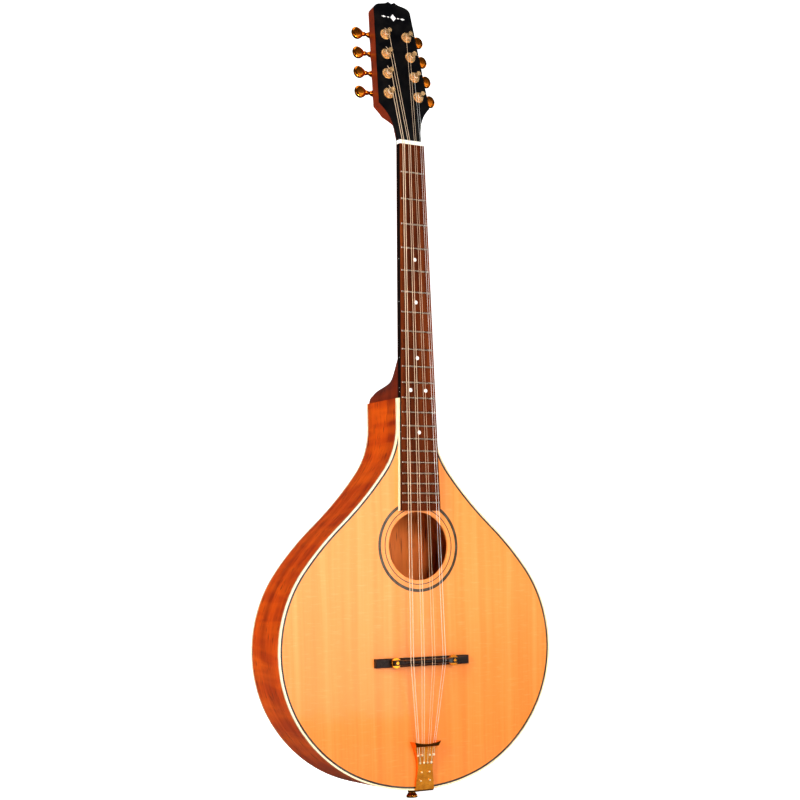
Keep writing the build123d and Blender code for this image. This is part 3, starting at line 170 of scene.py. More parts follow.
def spruce(name):
    """Fine bookmatched grain, close at the seam and wider towards the edges, with painted shade deepening
    towards the tail.
    """
    g = Graph(name)
    x, y, z = g.axes()
    side = g.math("ABSOLUTE", x)
    drift = g.noise(g.join(g.math("MULTIPLY", side, 4.0), 0.0, g.math("MULTIPLY", z, 1.3)), 3.0, 2.0)
    bent = g.math("ADD", side, g.math("MULTIPLY", drift, 0.012))
    squeezed = g.math("POWER", g.math("ADD", bent, 0.01), 0.86)
    rings = g.math("SINE", g.math("MULTIPLY", squeezed, RING_TURNS))
    late = g.math("POWER", g.levels(rings, -1.0, 1.0), 3.0)
    band = g.noise(g.join(squeezed, 0.0, g.math("MULTIPLY", z, 0.02)), 95.0, 3.0, 0.6)
    fibre = g.noise(g.join(g.math("MULTIPLY", bent, 2600.0), y, g.math("MULTIPLY", z, 38.0)), 1.0, 5.0, 0.65)
    silk = g.noise(g.join(g.math("MULTIPLY", side, 55.0), y, g.math("MULTIPLY", z, 420.0)), 1.0, 3.0, 0.6)
    tones = [(0.3, (0.78, 0.226, 0.041)), (0.5, (0.84, 0.262, 0.054)), (0.72, (0.89, 0.304, 0.078))]
    body = g.ramp(band, tones)
    lined = g.mix(g.math("MULTIPLY", late, 0.30), body, (0.62, 0.27, 0.075))
    fibred = g.mix(g.levels(fibre, 0.40, 0.75, 0.0, 0.18), lined, (0.55, 0.24, 0.07))
    shone = g.mix(g.levels(silk, 0.55, 0.80, 0.0, 0.16), fibred, (1.0, 0.68, 0.33))
    blotch = g.noise(g.place, 9.0, 3.0, 0.5)
    aged = g.mix(g.levels(blotch, 0.35, 0.75, 0.0, 0.14), shone, (0.78, 0.36, 0.10))
    tapped = g.levels(side, 0.0, SEAM_HALF, 0.35, 0.0)
    seamed = g.mix(tapped, aged, (0.55, 0.25, 0.08))
    # painted shade: the colour darkens towards the tail, standing in for light falling off low on the body
    toned = g.mix(g.levels(z, SHADE_FULL, SHADE_NONE, 0.8, 0.0), seamed, TAIL_SHADE, "MULTIPLY")
    lacquer(g, 0.5, 0.07)
    grain = g.bump(g.math("ADD", late, fibre), 0.10, 0.0002)
    return g.finish(toned, g.levels(fibre, 0.3, 0.8, 0.38, 0.5), Normal=grain, Specular_IOR_Level=0.35)


def brown_wood(name, stretch, pale, middle, dark, coat=1.0, figure=0.35, matched=False):
    """Porous brown wood. Stretch is small along the grain and large across it."""
    g = Graph(name)
    x, y, z = g.axes()
    across = g.math("ABSOLUTE", x) if matched else x
    spot = g.join(across, y, z)
    along = g.stretched(stretch, spot)
    ribbon = g.noise(along, 16.0, 3.0, 0.55, 0.5)
    streak = g.noise(along, 85.0, 5.0, 0.65)
    pores = g.noise(g.stretched(tuple(v * 3.2 for v in stretch), spot), 120.0, 2.0, 0.5)
    curl = g.noise(g.stretched((6.0, 6.0, 34.0), spot), 1.6, 2.0, 0.5, 0.8)
    base = g.ramp(ribbon, [(0.25, dark), (0.5, middle), (0.78, pale)])
    streaked = g.mix(g.levels(streak, 0.38, 0.72, 0.0, 0.55), base, dark)
    curled = g.mix(g.levels(curl, 0.42, 0.72, 0.0, figure), streaked, pale)
    hole = g.levels(pores, 0.60, 0.70)
    pored = g.mix(g.math("MULTIPLY", hole, 0.7), curled, tuple(v * 0.25 for v in dark))
    height = g.math("SUBTRACT", g.math("MULTIPLY", streak, 0.4), hole)
    if coat:
        lacquer(g, coat, 0.06)
    rough = g.levels(streak, 0.3, 0.8, 0.36, 0.52) if coat else g.levels(streak, 0.3, 0.8, 0.48, 0.66)
    return g.finish(pored, rough, Normal=g.bump(height, 0.2, 0.0003))


def rosewood(name):
    """Oiled fingerboard: dark streaks lengthwise, short pores, sides darkened to near black as painted shade,
    light wear by the frets.
    """
    g = Graph(name)
    along = g.stretched((1.0, 1.0, 0.035))
    streak = g.noise(along, 170.0, 5.0, 0.62, 0.4)
    broad = g.noise(g.stretched((1.0, 1.0, 0.06)), 60.0, 3.0, 0.5, 0.6)
    pore = g.noise(g.stretched((1.0, 1.0, 0.10)), 1500.0, 2.0, 0.5)
    tones = [(0.28, (0.028, 0.005, 0.0015)), (0.5, (0.11, 0.022, 0.005)), (0.74, (0.24, 0.058, 0.012))]
    base = g.ramp(g.math("ADD", g.math("MULTIPLY", streak, 0.6), g.math("MULTIPLY", broad, 0.4)), tones)
    pored = g.mix(g.levels(pore, 0.60, 0.70, 0.0, 0.75), base, (0.010, 0.004, 0.003))
    # painted shade: faces turned to either side are darkened to near black
    normal = g.node("ShaderNodeNewGeometry").outputs["Normal"]
    sideways = g.node("ShaderNodeSeparateXYZ", {0: normal}).outputs[0]
    edge = g.levels(g.math("ABSOLUTE", sideways), 0.5, 0.8)
    side_shaded = g.mix(edge, pored, (0.010, 0.006, 0.005))
    height = g.math("SUBTRACT", g.math("MULTIPLY", streak, 0.5), g.levels(pore, 0.58, 0.68))
    wear = g.noise(g.place, 70.0, 3.0)
    rough = g.levels(wear, 0.3, 0.7, 0.42, 0.58)
    return g.finish(side_shaded, rough, Normal=g.bump(height, 0.25, 0.0003), Specular_IOR_Level=0.05)


def ebony(name):
    """Almost black wood with faint brown streaks, hand polished."""
    g = Graph(name)
    streak = g.noise(g.stretched((0.05, 1.0, 1.0)), 260.0, 5.0, 0.6, 0.4)
    pore = g.noise(g.stretched((0.12, 1.0, 1.0)), 1700.0, 2.0)
    tones = [(0.35, (0.010, 0.007, 0.006)), (0.6, (0.028, 0.015, 0.011)), (0.8, (0.075, 0.032, 0.020))]
    base = g.ramp(streak, tones)
    pored = g.mix(g.levels(pore, 0.62, 0.70, 0.0, 0.6), base, (0.004, 0.003, 0.003))
    rough = g.levels(g.noise(g.place, 120.0), 0.3, 0.7, 0.22, 0.36)
    return g.finish(pored, rough, Normal=g.bump(streak, 0.12, 0.0002), Specular_IOR_Level=0.25)


def raw_wood(name):
    """Unfinished softwood inside the body, with saw marks and dust."""
    g = Graph(name)
    grain = g.noise(g.stretched((1.0, 1.0, 0.08)), 220.0, 5.0, 0.6)
    saw = g.math("SINE", g.math("MULTIPLY", g.axes()[0], SAW_TURNS))
    base = g.ramp(grain, [(0.3, (0.42, 0.24, 0.10)), (0.55, (0.60, 0.38, 0.18)), (0.8, (0.70, 0.48, 0.26))])
    dusty = g.mix(g.levels(g.noise(g.place, 30.0), 0.4, 0.7, 0.0, 0.25), base, (0.62, 0.50, 0.36))
    height = g.math("ADD", grain, g.math("MULTIPLY", saw, 0.1))
    return g.finish(dusty, g.levels(grain, 0.3, 0.8, 0.6, 0.85), Normal=g.bump(height, 0.3, 0.0003))


def black_lacquer(name):
    """Black headstock face, buffed, with hairline polishing swirls."""
    g = Graph(name)
    swirl = g.noise(g.stretched((1.0, 1.0, 0.3)), 900.0, 3.0, 0.7)
    cloud = g.noise(g.place, 60.0, 3.0)
    colour = g.mix(g.levels(cloud, 0.4, 0.7), (0.004, 0.004, 0.005), (0.010, 0.009, 0.009))
    lacquer(g, 0.12, 0.03)
    rough = g.levels(swirl, 0.3, 0.8, 0.12, 0.24)
    return g.finish(colour, rough, Normal=g.bump(swirl, 0.03, 0.0001), Specular_IOR_Level=0.06)


def dark_strip(name, tint=(0.066, 0.046, 0.028)):
    """Dyed veneer strips under lacquer: fine lines along a dark grey-brown band."""
    g = Graph(name)
    dye = g.noise(g.stretched((1.0, 0.2, 0.25)), 420.0, 4.0, 0.6)
    patch = g.noise(g.place, 75.0, 3.0, 0.6)
    low = tuple(v * 0.55 for v in tint)
    high = tuple(v * 1.9 for v in tint)
    base = g.ramp(dye, [(0.3, low), (0.55, tint), (0.8, high)])
    patched = g.mix(g.levels(patch, 0.45, 0.7, 0.0, 0.35), base, (0.15, 0.13, 0.105))
    lacquer(g, 0.6, 0.07)
    return g.finish(patched, 0.5, Normal=g.bump(dye, 0.1, 0.0001), Specular_IOR_Level=0.2)


# ---------------------------------------------------------------- plastics, bone and shell


def ivory(name):
    """Cream binding with the faint long grain of imitation ivory, slightly see-through."""
    g = Graph(name)
    grain = g.noise(g.stretched((1.0, 1.0, 0.12)), 500.0, 4.0, 0.6, 1.2)
    tone = g.noise(g.place, 22.0, 3.0)
    base = g.ramp(grain, [(0.3, (0.76, 0.60, 0.38)), (0.6, (0.84, 0.71, 0.48)), (0.8, (0.88, 0.79, 0.60))])
    toned = g.mix(g.levels(tone, 0.4, 0.7, 0.0, 0.3), base, (0.80, 0.66, 0.44))
    lacquer(g, 1.0, 0.06)
    rough = g.levels(grain, 0.3, 0.8, 0.22, 0.34)
    return g.finish(toned, rough, Subsurface_Weight=0.15, Subsurface_Scale=0.001)


def bone(name):
    """Polished bone with tiny marrow flecks."""
    g = Graph(name)
    fleck = g.noise(g.stretched((0.25, 1.0, 1.0)), 1500.0, 3.0, 0.6)
    tone = g.noise(g.place, 180.0, 3.0)
    base = g.ramp(tone, [(0.35, (0.84, 0.80, 0.70)), (0.65, (0.93, 0.91, 0.85))])
    flecked = g.mix(g.levels(fleck, 0.62, 0.74, 0.0, 0.5), base, (0.62, 0.52, 0.38))
    rough = g.levels(tone, 0.3, 0.7, 0.18, 0.3)
    surface = g.bump(fleck, 0.1, 0.0001)
    return g.finish(flecked, rough, Subsurface_Weight=0.2, Subsurface_Scale=0.001, Normal=surface)


def pearl(name):
    """Mother of pearl: layered clouds of pink, green and white with a changing sheen."""
    g = Graph(name)
    cloud = g.noise(g.place, 420.0, 4.0, 0.6, 2.5)
    greens = [(0.25, (0.62, 0.74, 0.70)), (0.45, (0.90, 0.88, 0.82))]
    pinks = [(0.6, (0.90, 0.78, 0.78)), (0.8, (0.95, 0.95, 0.9))]
    colour = g.ramp(cloud, greens + pinks)
    view = g.node("ShaderNodeLayerWeight", {"Blend": 0.35}).outputs["Facing"]
    shifted = g.mix(g.math("MULTIPLY", view, 0.5), colour, (0.70, 0.86, 0.92))
    return g.finish(shifted, g.levels(cloud, 0.3, 0.7, 0.12, 0.25), Coat_Weight=0.8, Specular_IOR_Level=0.7)


# ---------------------------------------------------------------- metals


def plated(name, colour, deep, rough=(0.10, 0.24), scratch=0.06, stretch=(1.0, 1.0, 1.0), metal=1.0):
    """Plated metal: cloudy tone, hairline scratches and smudges that dull the polish."""
    g = Graph(name)
    hair = g.noise(g.stretched(stretch), 1400.0, 3.0, 0.7)
    smudge = g.noise(g.place, 130.0, 4.0, 0.6)
    tone = g.mix(g.levels(smudge, 0.38, 0.72, 0.0, 0.6), colour, deep)
    shade = g.mix(g.levels(hair, 0.60, 0.75, 0.0, 0.2), tone, tuple(v * 0.6 for v in deep))
    dull = g.math("ADD", g.levels(smudge, 0.3, 0.75, rough[0], rough[1]), g.levels(hair, 0.5, 0.8, 0.0, 0.08))
    return g.finish(shade, dull, Metallic=metal, Normal=g.bump(hair, scratch, 0.0001))


def wound_wire(name, colour, pitch):
    """Wound string: close ridges round the core, running across its length."""
    g = Graph(name)
    turn = g.math("SINE", g.math("MULTIPLY", g.axes()[2], tau / pitch))
    tone = g.noise(g.place, 260.0, 3.0)
    shaded = g.mix(g.levels(turn, -1.0, 1.0, 0.55, 0.0), colour, tuple(v * 0.35 for v in colour))
    aged = g.mix(g.levels(tone, 0.4, 0.75, 0.0, 0.3), shaded, tuple(v * 0.6 for v in colour))
    rough = g.levels(tone, 0.3, 0.7, 0.30, 0.42)
    return g.finish(aged, rough, Metallic=STRING_METAL, Normal=g.bump(turn, 0.35, 0.00008))


GRAIN_UP = (1.0, 1.0, 0.07)
GRAIN_ROUND = (0.16, 1.0, 0.16)
WINDING_PITCH = 0.28 * MM
STRING_METAL = 0.55  # worn, dusty strings scatter part of the light
GOLD = (1.0, 0.40, 0.050)
DEEP_GOLD = (0.84, 0.26, 0.022)

MATERIALS = {
    "spruce_top": spruce("spruce_top"),
    "rim_wood": brown_wood(
        "rim_wood",
        GRAIN_ROUND,
        (0.82, 0.150, 0.003),
        (0.58, 0.072, 0.001),
        (0.20, 0.014, 0.001),
        coat=0.4,
        figure=0.5,
    ),
    "back_wood": brown_wood(
        "back_wood",
        GRAIN_UP,
        (0.76, 0.120, 0.004),
        (0.54, 0.062, 0.002),
        (0.22, 0.016, 0.001),
        figure=0.45,
        matched=True,
    ),
    "neck_wood": brown_wood(
        "neck_wood",
        GRAIN_UP,
        (0.36, 0.055, 0.008),
        (0.22, 0.026, 0.004),
        (0.09, 0.009, 0.002),
        figure=0.3,
    ),
    "rosewood": rosewood("rosewood"),
    "ebony": ebony("ebony"),
    "inner_wood": raw_wood("inner_wood"),
    "inside_wood": brown_wood(
        "inside_wood",
        GRAIN_UP,
        (0.88, 0.25, 0.040),
        (0.74, 0.17, 0.022),
        (0.48, 0.085, 0.010),
        coat=0.0,
        figure=0.2,
    ),
    "black_gloss": black_lacquer("black_gloss"),
    "rosette_strip": dark_strip("rosette_strip"),
    "purfling_strip": dark_strip("purfling_strip", (0.040, 0.030, 0.022)),
    "ivory_binding": ivory("ivory_binding"),
    "bone": bone("bone"),
    "pearl": pearl("pearl"),
    "fret_wire": plated(
        "fret_wire", (0.62, 0.52, 0.42), (0.46, 0.37, 0.28), (0.2, 0.34), stretch=(0.05, 1.0, 1.0)
    ),
    # painted highlight: a pale, half-metal finish that makes the fret ends look lit
    "lit_fret_end": plated("lit_fret_end", (1.0, 0.98, 0.94), (0.95, 0.92, 0.86), rough=(0.45, 0.6), metal=0.2),
    "gold_plate": plated("gold_plate", GOLD, DEEP_GOLD),
    # gold plate lightened and made less metallic, as painted highlight on the posts, bushings, washers and
    # tailpiece screws
    "lit_gold": plated("lit_gold", (1.0, 0.66, 0.34), (0.92, 0.50, 0.20), (0.16, 0.32), metal=0.8),
    # gold plate on the tailpiece pins, lightened and made less metallic as painted highlight
    "lit_hook_gold": plated("lit_hook_gold", (1.0, 0.84, 0.58), (0.96, 0.70, 0.40), (0.30, 0.45), metal=0.6),
    "gold_button": plated("gold_button", (0.92, 0.29, 0.028), (0.76, 0.19, 0.012), rough=(0.14, 0.24)),
    "bronze_string": wound_wire("bronze_string", (0.98, 0.74, 0.52), WINDING_PITCH),
    "plain_string": plated(
        "plain_string",
        (0.97, 0.95, 0.92),
        (0.90, 0.85, 0.78),
        rough=(0.28, 0.40),
        scratch=0.02,
        stretch=(1.0, 1.0, 0.02),
        metal=STRING_METAL,
    ),
    "rod_steel": plated("rod_steel", (0.5, 0.5, 0.5), (0.36, 0.34, 0.32), rough=(0.25, 0.4)),
}

NODE_MATERIALS = {
    "spruce_top": ("soundboard",),
    "rim_wood": ("rim_bass", "rim_treble"),
    "back_wood": ("back_plate",),
    "neck_wood": ("neck", "heel_cap"),
    "rosewood": ("fingerboard",),
    "ebony": ("bridge_base", "bridge_saddle"),
    "inner_wood": ("linings", "neck_block", "tail_block", "soundboard_braces", "back_braces"),
    "black_gloss": ("headstock_overlay",),
    "rosette_strip": ("rosette_rings",),
    "purfling_strip": ("top_purfling",),
    "ivory_binding": ("top_binding", "back_binding", "fingerboard_riser"),
    "bone": ("nut",),
    "pearl": ("side_dots", "fret_dots", "headstock_inlay"),
    "fret_wire": ("frets",),
    "gold_plate": (
        "tailpiece_plate",
        "end_pin",
        "tuner_housings",
        "tuner_screws",
        "bridge_wheel_bass",
        "bridge_wheel_treble",
        "bridge_studs",
    ),
    "lit_hook_gold": ("tailpiece_pins",),
    "lit_gold": (
        "tailpiece_screws",
        "tuner_washers",
        "tuner_bushings",
        *(f"tuner_post_{k}" for k in range(1, TUNERS + 1)),
    ),
    "gold_button": tuple(f"tuner_key_{k}" for k in range(1, TUNERS + 1)),
    "bronze_string": ("strings_bass", "strings_second", "strings_third"),
    "plain_string": ("strings_treble",),
    "rod_steel": ("truss_rod", "truss_rod_nut"),
}

for finish_name, node_names in NODE_MATERIALS.items():
    for node_name in node_names:
        held = frame["nodes"][node_name].data
        held.materials.clear()
        held.materials.append(MATERIALS[finish_name])


# ---------------------------------------------------------------- softened edges


def soften(node_name, width):
    """Rounds a CAD node's sharp edges with modifiers, so that they catch the light."""
    held = frame["nodes"][node_name]
    merge = held.modifiers.new("merge", "WELD")
    merge.merge_threshold = 1e-6
    flat = held.modifiers.new("flat", "DECIMATE")
    flat.decimate_type = "DISSOLVE"
    flat.angle_limit = radians(0.5)
    edge = held.modifiers.new("edge", "BEVEL")
    edge.width = width
    edge.segments = EDGE_SEGMENTS
    edge.limit_method = "ANGLE"
    edge.angle_limit = SHARP


SOFT_EDGES = {
    "headstock_overlay": 0.5 * MM,
    "fingerboard": 0.5 * MM,
    "bridge_base": 0.5 * MM,
    "nut": 0.35 * MM,
    "tailpiece_plate": 0.25 * MM,
    "tailpiece_pins": 0.45 * MM,
    "tuner_bushings": 0.3 * MM,
    "end_pin": 0.4 * MM,
}
for node_name, width in SOFT_EDGES.items():
    soften(node_name, width)


# ---------------------------------------------------------------- finishes on part of a node


BODY_MIDDLE = Vector((0.0, 0.0, 0.2))  # level with the body's widest part


def faces_inward(centre, normal):
    """True on the inside of the body's curved side."""
    flat = Vector((normal.x, 0.0, normal.z))
    return flat.length > 0.5 and flat.dot(Vector((centre.x, 0.0, centre.z)) - BODY_MIDDLE) < 0


def paint_where(node_name, finish_name, chosen):
    """Gives the chosen polygons of a CAD node a second finish. Chosen takes a centre and a normal."""
    data = frame["nodes"][node_name].data
    data.materials.append(MATERIALS[finish_name])
    for polygon in data.polygons:
        if chosen(polygon.center, polygon.normal):
            polygon.material_index = 1


for rim_name in ("rim_bass", "rim_treble"):
    paint_where(rim_name, "inside_wood", faces_inward)
paint_where("back_plate", "inside_wood", lambda centre, normal: normal.y < -0.5)
paint_where("soundboard", "inner_wood", lambda centre, normal: normal.y > 0.5)
# painted highlight: only the fret ends facing the bass side get the pale finish
paint_where("frets", "lit_fret_end", lambda centre, normal: normal.x < -0.5)


# ---------------------------------------------------------------- mesh builders


def new_piece(name, mesh, finish, body):
    """Turns a bmesh into a smooth piece that rides on a body."""
    bmesh.ops.recalc_face_normals(mesh, faces=mesh.faces)
    data = bpy.data.meshes.new(name)
    mesh.to_mesh(data)
    mesh.free()
    for polygon in data.polygons:
        polygon.use_smooth = True
    piece = bpy.data.objects.new(name, data)
    bpy.context.scene.collection.objects.link(piece)
    data.materials.append(MATERIALS[finish])
    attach(piece, body)
    return piece


def rings_to_faces(mesh, rings):
    """Quads between rings of equal count, with both ends closed."""
    for lower, upper in zip(rings, rings[1:]):
        count = len(lower)
        for i in range(count):
            j = (i + 1) % count
            mesh.faces.new((lower[i], lower[j], upper[j], upper[i]))
    mesh.faces.new(list(reversed(rings[0])))
    mesh.faces.new(rings[-1])


def turned(mesh, profile, origin, out, up):
    """Turns (distance, radius) points about an axis."""
    third = out.cross(up)
    rings = []
    for distance, radius in profile:
        ring = []
        for i in range(TURNED_SEGMENTS):
            angle = tau * i / TURNED_SEGMENTS
            spoke = up * cos(angle) + third * sin(angle)
            ring.append(mesh.verts.new(origin + out * distance + spoke * radius))
        rings.append(ring)
    rings_to_faces(mesh, rings)


def wire(mesh, points, radius):
    """Round wire through points, its rings kept from twisting."""
    ahead = (points[1] - points[0]).normalized()
    across = ahead.orthogonal().normalized()
    rings = []
    for i, point in enumerate(points):
        before = points[max(i - 1, 0)]
        after = points[min(i + 1, len(points) - 1)]
        ahead = (after - before).normalized()
        across = (across - ahead * across.dot(ahead)).normalized()
        other = ahead.cross(across)
        ring = []
        for k in range(WIRE_SEGMENTS):
            angle = tau * k / WIRE_SEGMENTS
            ring.append(mesh.verts.new(point + (across * cos(angle) + other * sin(angle)) * radius))
        rings.append(ring)
    rings_to_faces(mesh, rings)


# ---------------------------------------------------------------- tuning keys

JOINTS = {joint["name"]: joint for joint in frame["joints"]}
POST_AXIS = Vector(JOINTS["post_1_turn"]["axis"])  # straight out of the headstock's face
HEAD_UP = Vector((1.0, 0.0, 0.0)).cross(POST_AXIS) * -1.0
KEY_RADIUS = 2.0 * MM
KEY_STUB_RADIUS = 1.35 * MM
KEY_START = -8.0 * MM
WORM_RADIUS = 2.7 * MM
WORM_CORE = 2.2 * MM
WORM_HALF = 5.0 * MM
WORM_RIDGES = 4
COLLAR_START = 12.7 * MM
# Millimetres out from the worm's middle, and radii
COLLAR = ((12.8, 2.9), (13.3, 3.3), (14.2, 3.3), (14.7, 2.5))
SHAFT_SWELL = ((16.0, 2.0), (17.4, 2.1), (18.4, 2.7), (19.6, 3.1), (21.5, 3.0), (24.0, 2.2))
BUTTON_CENTRE = 29.0 * MM
BUTTON_HALF_LENGTH = 8.4 * MM
BUTTON_HALF_HEIGHT = 9.2 * MM
BUTTON_HALF_THICK = 2.9 * MM
BUTTON_ROUNDS = 40
BUTTON_SLICES = 14
BUTTON_ROUNDING = 2.0 / 3.4  # below 1: flatter faces and tighter rims than an ellipse
BUTTON_NARROWING = 0.34  # share of the height lost at the shaft's end
NARROWING_POWER = 1.6


def egg_button(mesh, centre, out, up):
    """Domed metal button: an egg outline, narrow at the shaft, with flattened faces and round rims."""
    thick = out.cross(up)
    rings = []
    for level in range(1, BUTTON_SLICES):
        turn = pi * (level / BUTTON_SLICES - 0.5)
        share = abs(cos(turn)) ** BUTTON_ROUNDING
        lift = abs(sin(turn)) ** BUTTON_ROUNDING * (1 if turn > 0 else -1)
        ring = []
        for i in range(BUTTON_ROUNDS):
            angle = tau * i / BUTTON_ROUNDS
            narrowing = 1.0 - BUTTON_NARROWING * ((1 - cos(angle)) / 2) ** NARROWING_POWER
            along = cos(angle) * BUTTON_HALF_LENGTH * share
            high = sin(angle) * BUTTON_HALF_HEIGHT * narrowing * share
            ring.append(mesh.verts.new(centre + out * along + up * high + thick * (lift * BUTTON_HALF_THICK)))
        rings.append(ring)
    rings_to_faces(mesh, rings)


def key_profile():
    """Stub, ridged worm, shaft and collar, as distances along the key and radii."""
    profile = [(KEY_START, KEY_STUB_RADIUS), (-WORM_HALF, KEY_STUB_RADIUS), (-WORM_HALF, WORM_CORE)]
    step = 2 * WORM_HALF / WORM_RIDGES
    for ridge in range(WORM_RIDGES):
        start = -WORM_HALF + ridge * step
        profile += [(start + 0.25 * step, WORM_CORE), (start + 0.40 * step, WORM_RADIUS)]
        profile += [(start + 0.60 * step, WORM_RADIUS), (start + 0.75 * step, WORM_CORE)]
    profile += [(WORM_HALF, WORM_CORE), (WORM_HALF, KEY_RADIUS), (COLLAR_START, KEY_RADIUS)]
    profile += [(distance * MM, radius * MM) for distance, radius in COLLAR + SHAFT_SWELL]
    return profile


def tuning_key(number):
    """One key in a single mesh: its turned shaft and its button, about the key's joint."""
    joint = JOINTS[f"key_{number}_turn"]
    origin = Vector(joint["pos_m"])
    side = 1.0 if origin.x > 0 else -1.0
    out = Vector((side, 0.0, 0.0))
    mesh = bmesh.new()
    turned(mesh, key_profile(), origin, out, HEAD_UP)
    egg_button(mesh, origin + out * BUTTON_CENTRE, out, HEAD_UP)
    piece = new_piece(f"tuner_button_{number}", mesh, "gold_button", f"key_{number}")
    piece.modifiers.new("smooth", "SUBSURF").render_levels = 1
    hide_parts(f"tuner_key_{number}")


for number in range(1, TUNERS + 1):
    tuning_key(number)


# ---------------------------------------------------------------- string ends at the posts

POST_RADIUS = 3.0 * MM
WAIST_RADIUS = 2.6 * MM
WINDING_HEIGHT = 7.4 * MM
WAIST_HALF = 2.3 * MM
STRING_RADII = (0.5 * MM, 0.36 * MM, 0.24 * MM, 0.17 * MM)
TAIL_HEIGHT = 11.6 * MM
TAIL_LENGTH = 5.2 * MM
TAIL_RISE = 1.6 * MM
TAIL_DROOP = 1.1 * MM
TAIL_STEPS = 10
TAIL_SIDEWAYS = 0.55
TAIL_UPWARD = 0.8
TAIL_FAN = 0.13  # each post's string end leans a little further down than the last
TAIL_ROOT = 0.8  # of the post's radius
TREBLE_COURSE = 3
END_FACE_COSINE = 0.98
CLEAR = 0.01 * MM


def course_of(post):
    """Which pair of strings winds on a post, counted up the bass side and then down the treble side."""
    return (post - 1) // 2 if post <= SIDE_TUNERS else (3 * SIDE_TUNERS - post) // 2


def string_finish(post):
    """Plain steel for the treble pair, wound bronze for the others."""
    return "plain_string" if course_of(post) == TREBLE_COURSE else "bronze_string"


def string_tail(post):
    """The cut end of a string, standing out of its post through the hole above the winding."""
    joint = JOINTS[f"post_{post}_turn"]
    origin = Vector(joint["pos_m"])
    side = 1.0 if origin.x > 0 else -1.0
    finish = string_finish(post)
    sideways = Vector((TAIL_SIDEWAYS * side, 0.0, 0.0))
    lean = (sideways + HEAD_UP * (TAIL_UPWARD - TAIL_FAN * post)).normalized()
    start = origin + POST_AXIS * TAIL_HEIGHT + lean * (POST_RADIUS * TAIL_ROOT)
    points = []
    for step in range(TAIL_STEPS + 1):
        share = step / TAIL_STEPS
        away = lean * (TAIL_LENGTH * share)
        curl = POST_AXIS * (TAIL_RISE * share * share) - HEAD_UP * (TAIL_DROOP * share**3)
        points.append(start + away + curl)
    mesh = bmesh.new()
    wire(mesh, points, STRING_RADII[course_of(post)])
    new_piece(f"string_tail_{post}", mesh, finish, f"post_{post}")


def paint_winding(post):
    """Gives the turns of string on a post the string's finish."""
    joint = JOINTS[f"post_{post}_turn"]
    origin = Vector(joint["pos_m"])

    def on_winding(centre, normal):
        offset = centre - origin
        height = offset.dot(POST_AXIS)
        radial = (offset - POST_AXIS * height).length
        end_face = abs(normal.dot(POST_AXIS)) > END_FACE_COSINE
        beside = abs(height - WINDING_HEIGHT) < WAIST_HALF
        return beside and radial > WAIST_RADIUS + CLEAR and not end_face

    paint_where(f"tuner_post_{post}", string_finish(post), on_winding)


for post in range(1, TUNERS + 1):
    string_tail(post)
    paint_winding(post)


# ---------------------------------------------------------------- stage, light and camera


VIEW_AZIMUTH = radians(31.51)  # the camera stands this far to the bass side of straight ahead
VIEW_PITCH = radians(3.94)
VIEW_ROLL = radians(-1.29)
CAMERA_PLACE = Vector((-1.0558, -1.8222, 0.2798))
LENS = 74.42
SENSOR_WIDTH = 36.0
SHIFT = (-0.0574, 0.0744)
FAR_CLIP = 100.0
# The backdrop, in metres: how far it reaches to each side, to the front, back and up, and its curve
HALF_WIDTH = 14.0
FLOOR_FRONT = -6.0
WALL = 5.0
WALL_HEIGHT = 9.0
WALL_BEND = 2.0
BEND_STEPS = 16
FLOOR_GAP = 1.0 * MM
WHITE = (1.0, 1.0, 1.0, 1.0)
PAPER_GLOW = 0.85
ROOM_GLOW = 0.05


def backdrop():
    """Pale floor just under the instrument, running up into a curved wall behind it."""
    low = cad_box[0][2] - FLOOR_GAP
    line = [(FLOOR_FRONT, low), (WALL - WALL_BEND, low)]
    for step in range(1, BEND_STEPS + 1):
        turn = (pi / 2) * step / BEND_STEPS
        line.append((WALL - WALL_BEND + WALL_BEND * sin(turn), low + WALL_BEND * (1 - cos(turn))))
    line.append((WALL, low + WALL_HEIGHT))
    mesh = bmesh.new()
    rows = [[mesh.verts.new((side * HALF_WIDTH, y, z)) for side in (-1, 1)] for y, z in line]
    for below, above in zip(rows, rows[1:]):
        mesh.faces.new((below[0], below[1], above[1], above[0]))
    data = bpy.data.meshes.new("backdrop")
    mesh.to_mesh(data)
    mesh.free()
    for polygon in data.polygons:
        polygon.use_smooth = True
    wall = bpy.data.objects.new("backdrop", data)
    bpy.context.scene.collection.objects.link(wall)
    wall.rotation_euler[2] = -VIEW_AZIMUTH
    paper = Graph("backdrop_paper")
    tone = paper.noise(paper.place, 3.0, 3.0)
    colour = paper.mix(tone, (0.90, 0.90, 0.90), (0.94, 0.94, 0.94))
    seen = paper.node("ShaderNodeLightPath").outputs["Is Camera Ray"]
    glow = paper.math("MULTIPLY", seen, PAPER_GLOW)
    data.materials.append(paper.finish(colour, 0.85, Emission_Color=WHITE, Emission_Strength=glow))
    wall.visible_glossy = False


def area_light(name, place, target, size, power):
    """Rectangular lamp turned to a target. Size is in metres, power in watts."""
    data = bpy.data.lights.new(name, "AREA")
    data.shape = "RECTANGLE"
    data.size, data.size_y = size
    data.energy = power
    lamp = bpy.data.objects.new(name, data)
    bpy.context.scene.collection.objects.link(lamp)
    lamp.location = place
    lamp.rotation_euler = (Vector(target) - Vector(place)).to_track_quat("-Z", "Y").to_euler()
    return lamp


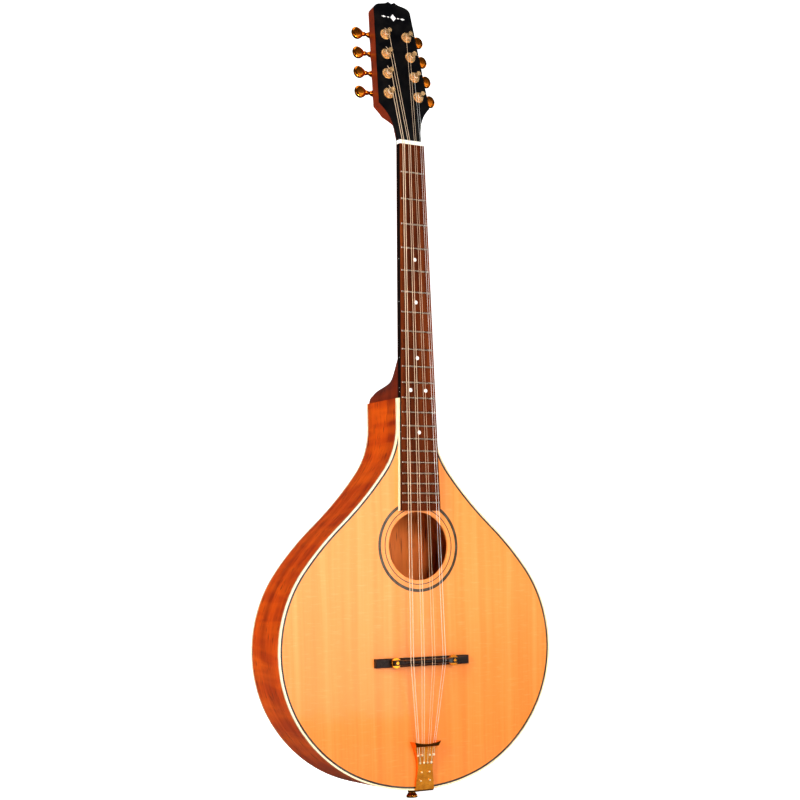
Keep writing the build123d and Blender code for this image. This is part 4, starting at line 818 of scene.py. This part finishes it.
def camera():
    """Three-quarter view from the bass side, a little below the middle, with the lens shifted off centre."""
    data = bpy.data.cameras.new("camera")
    data.lens = LENS
    data.sensor_width = SENSOR_WIDTH
    data.shift_x, data.shift_y = SHIFT
    data.clip_end = FAR_CLIP
    seer = bpy.data.objects.new("camera", data)
    bpy.context.scene.collection.objects.link(seer)
    ahead = Vector(
        (sin(VIEW_AZIMUTH) * cos(VIEW_PITCH), cos(VIEW_AZIMUTH) * cos(VIEW_PITCH), sin(VIEW_PITCH))
    )
    level = Vector((cos(VIEW_AZIMUTH), -sin(VIEW_AZIMUTH), 0.0))
    upward = level.cross(ahead)
    right = cos(VIEW_ROLL) * level + sin(VIEW_ROLL) * upward
    top = cos(VIEW_ROLL) * upward - sin(VIEW_ROLL) * level
    turn = Matrix((right, top, -ahead)).transposed()
    seer.matrix_world = Matrix.Translation(CAMERA_PLACE) @ turn.to_4x4()
    bpy.context.scene.camera = seer


def around(azimuth, distance, height):
    """Place at a bearing from straight ahead of the instrument: negative is the bass side."""
    turn = radians(azimuth)
    return Vector((sin(turn) * distance, -cos(turn) * distance, height))


def lights():
    """Soft boxes, and dim cards that are there for the metal to reflect."""
    middle = Vector((0.0, 0.0, 0.42))
    area_light("front_box", around(-9, 1.7, 0.62), middle, (0.35, 0.6), 17.0)
    area_light("high_card", around(31, 2.6, 2.1), (0.0, 0.0, 0.95), (1.2, 0.9), 3.2)
    area_light("low_card", around(31, 2.4, -0.45), (0.0, 0.0, 0.05), (1.3, 0.55), 1.3)
    area_light("sheen_box", around(21, 2.4, 0.5), middle, (0.85, 1.2), 6.5)
    side_box = area_light("side_box", around(-66, 2.1, 1.15), middle, (0.4, 0.9), 36.0)
    side_box.visible_glossy = False
    area_light("side_card", around(-66, 2.3, 0.7), middle, (1.0, 1.4), 8.0)
    area_light("right_box", around(84, 2.2, 0.8), middle, (0.8, 1.6), 12.0)
    area_light("top_box", (-0.2, -0.4, 2.9), middle, (1.6, 1.6), 14.0)
    world = bpy.data.worlds.new("world")
    bpy.context.scene.world = world
    world.use_nodes = True
    tree = world.node_tree
    background = tree.nodes["Background"]
    path = tree.nodes.new("ShaderNodeLightPath")
    glow = tree.nodes.new("ShaderNodeMapRange")
    glow.inputs["To Min"].default_value = ROOM_GLOW
    tree.links.new(path.outputs["Is Camera Ray"], glow.inputs["Value"])
    tree.links.new(glow.outputs["Result"], background.inputs["Strength"])
    background.inputs["Color"].default_value = WHITE
    bpy.context.scene.view_settings.view_transform = "Standard"
    bpy.context.scene.view_settings.look = "Medium High Contrast"


backdrop()
lights()
camera()
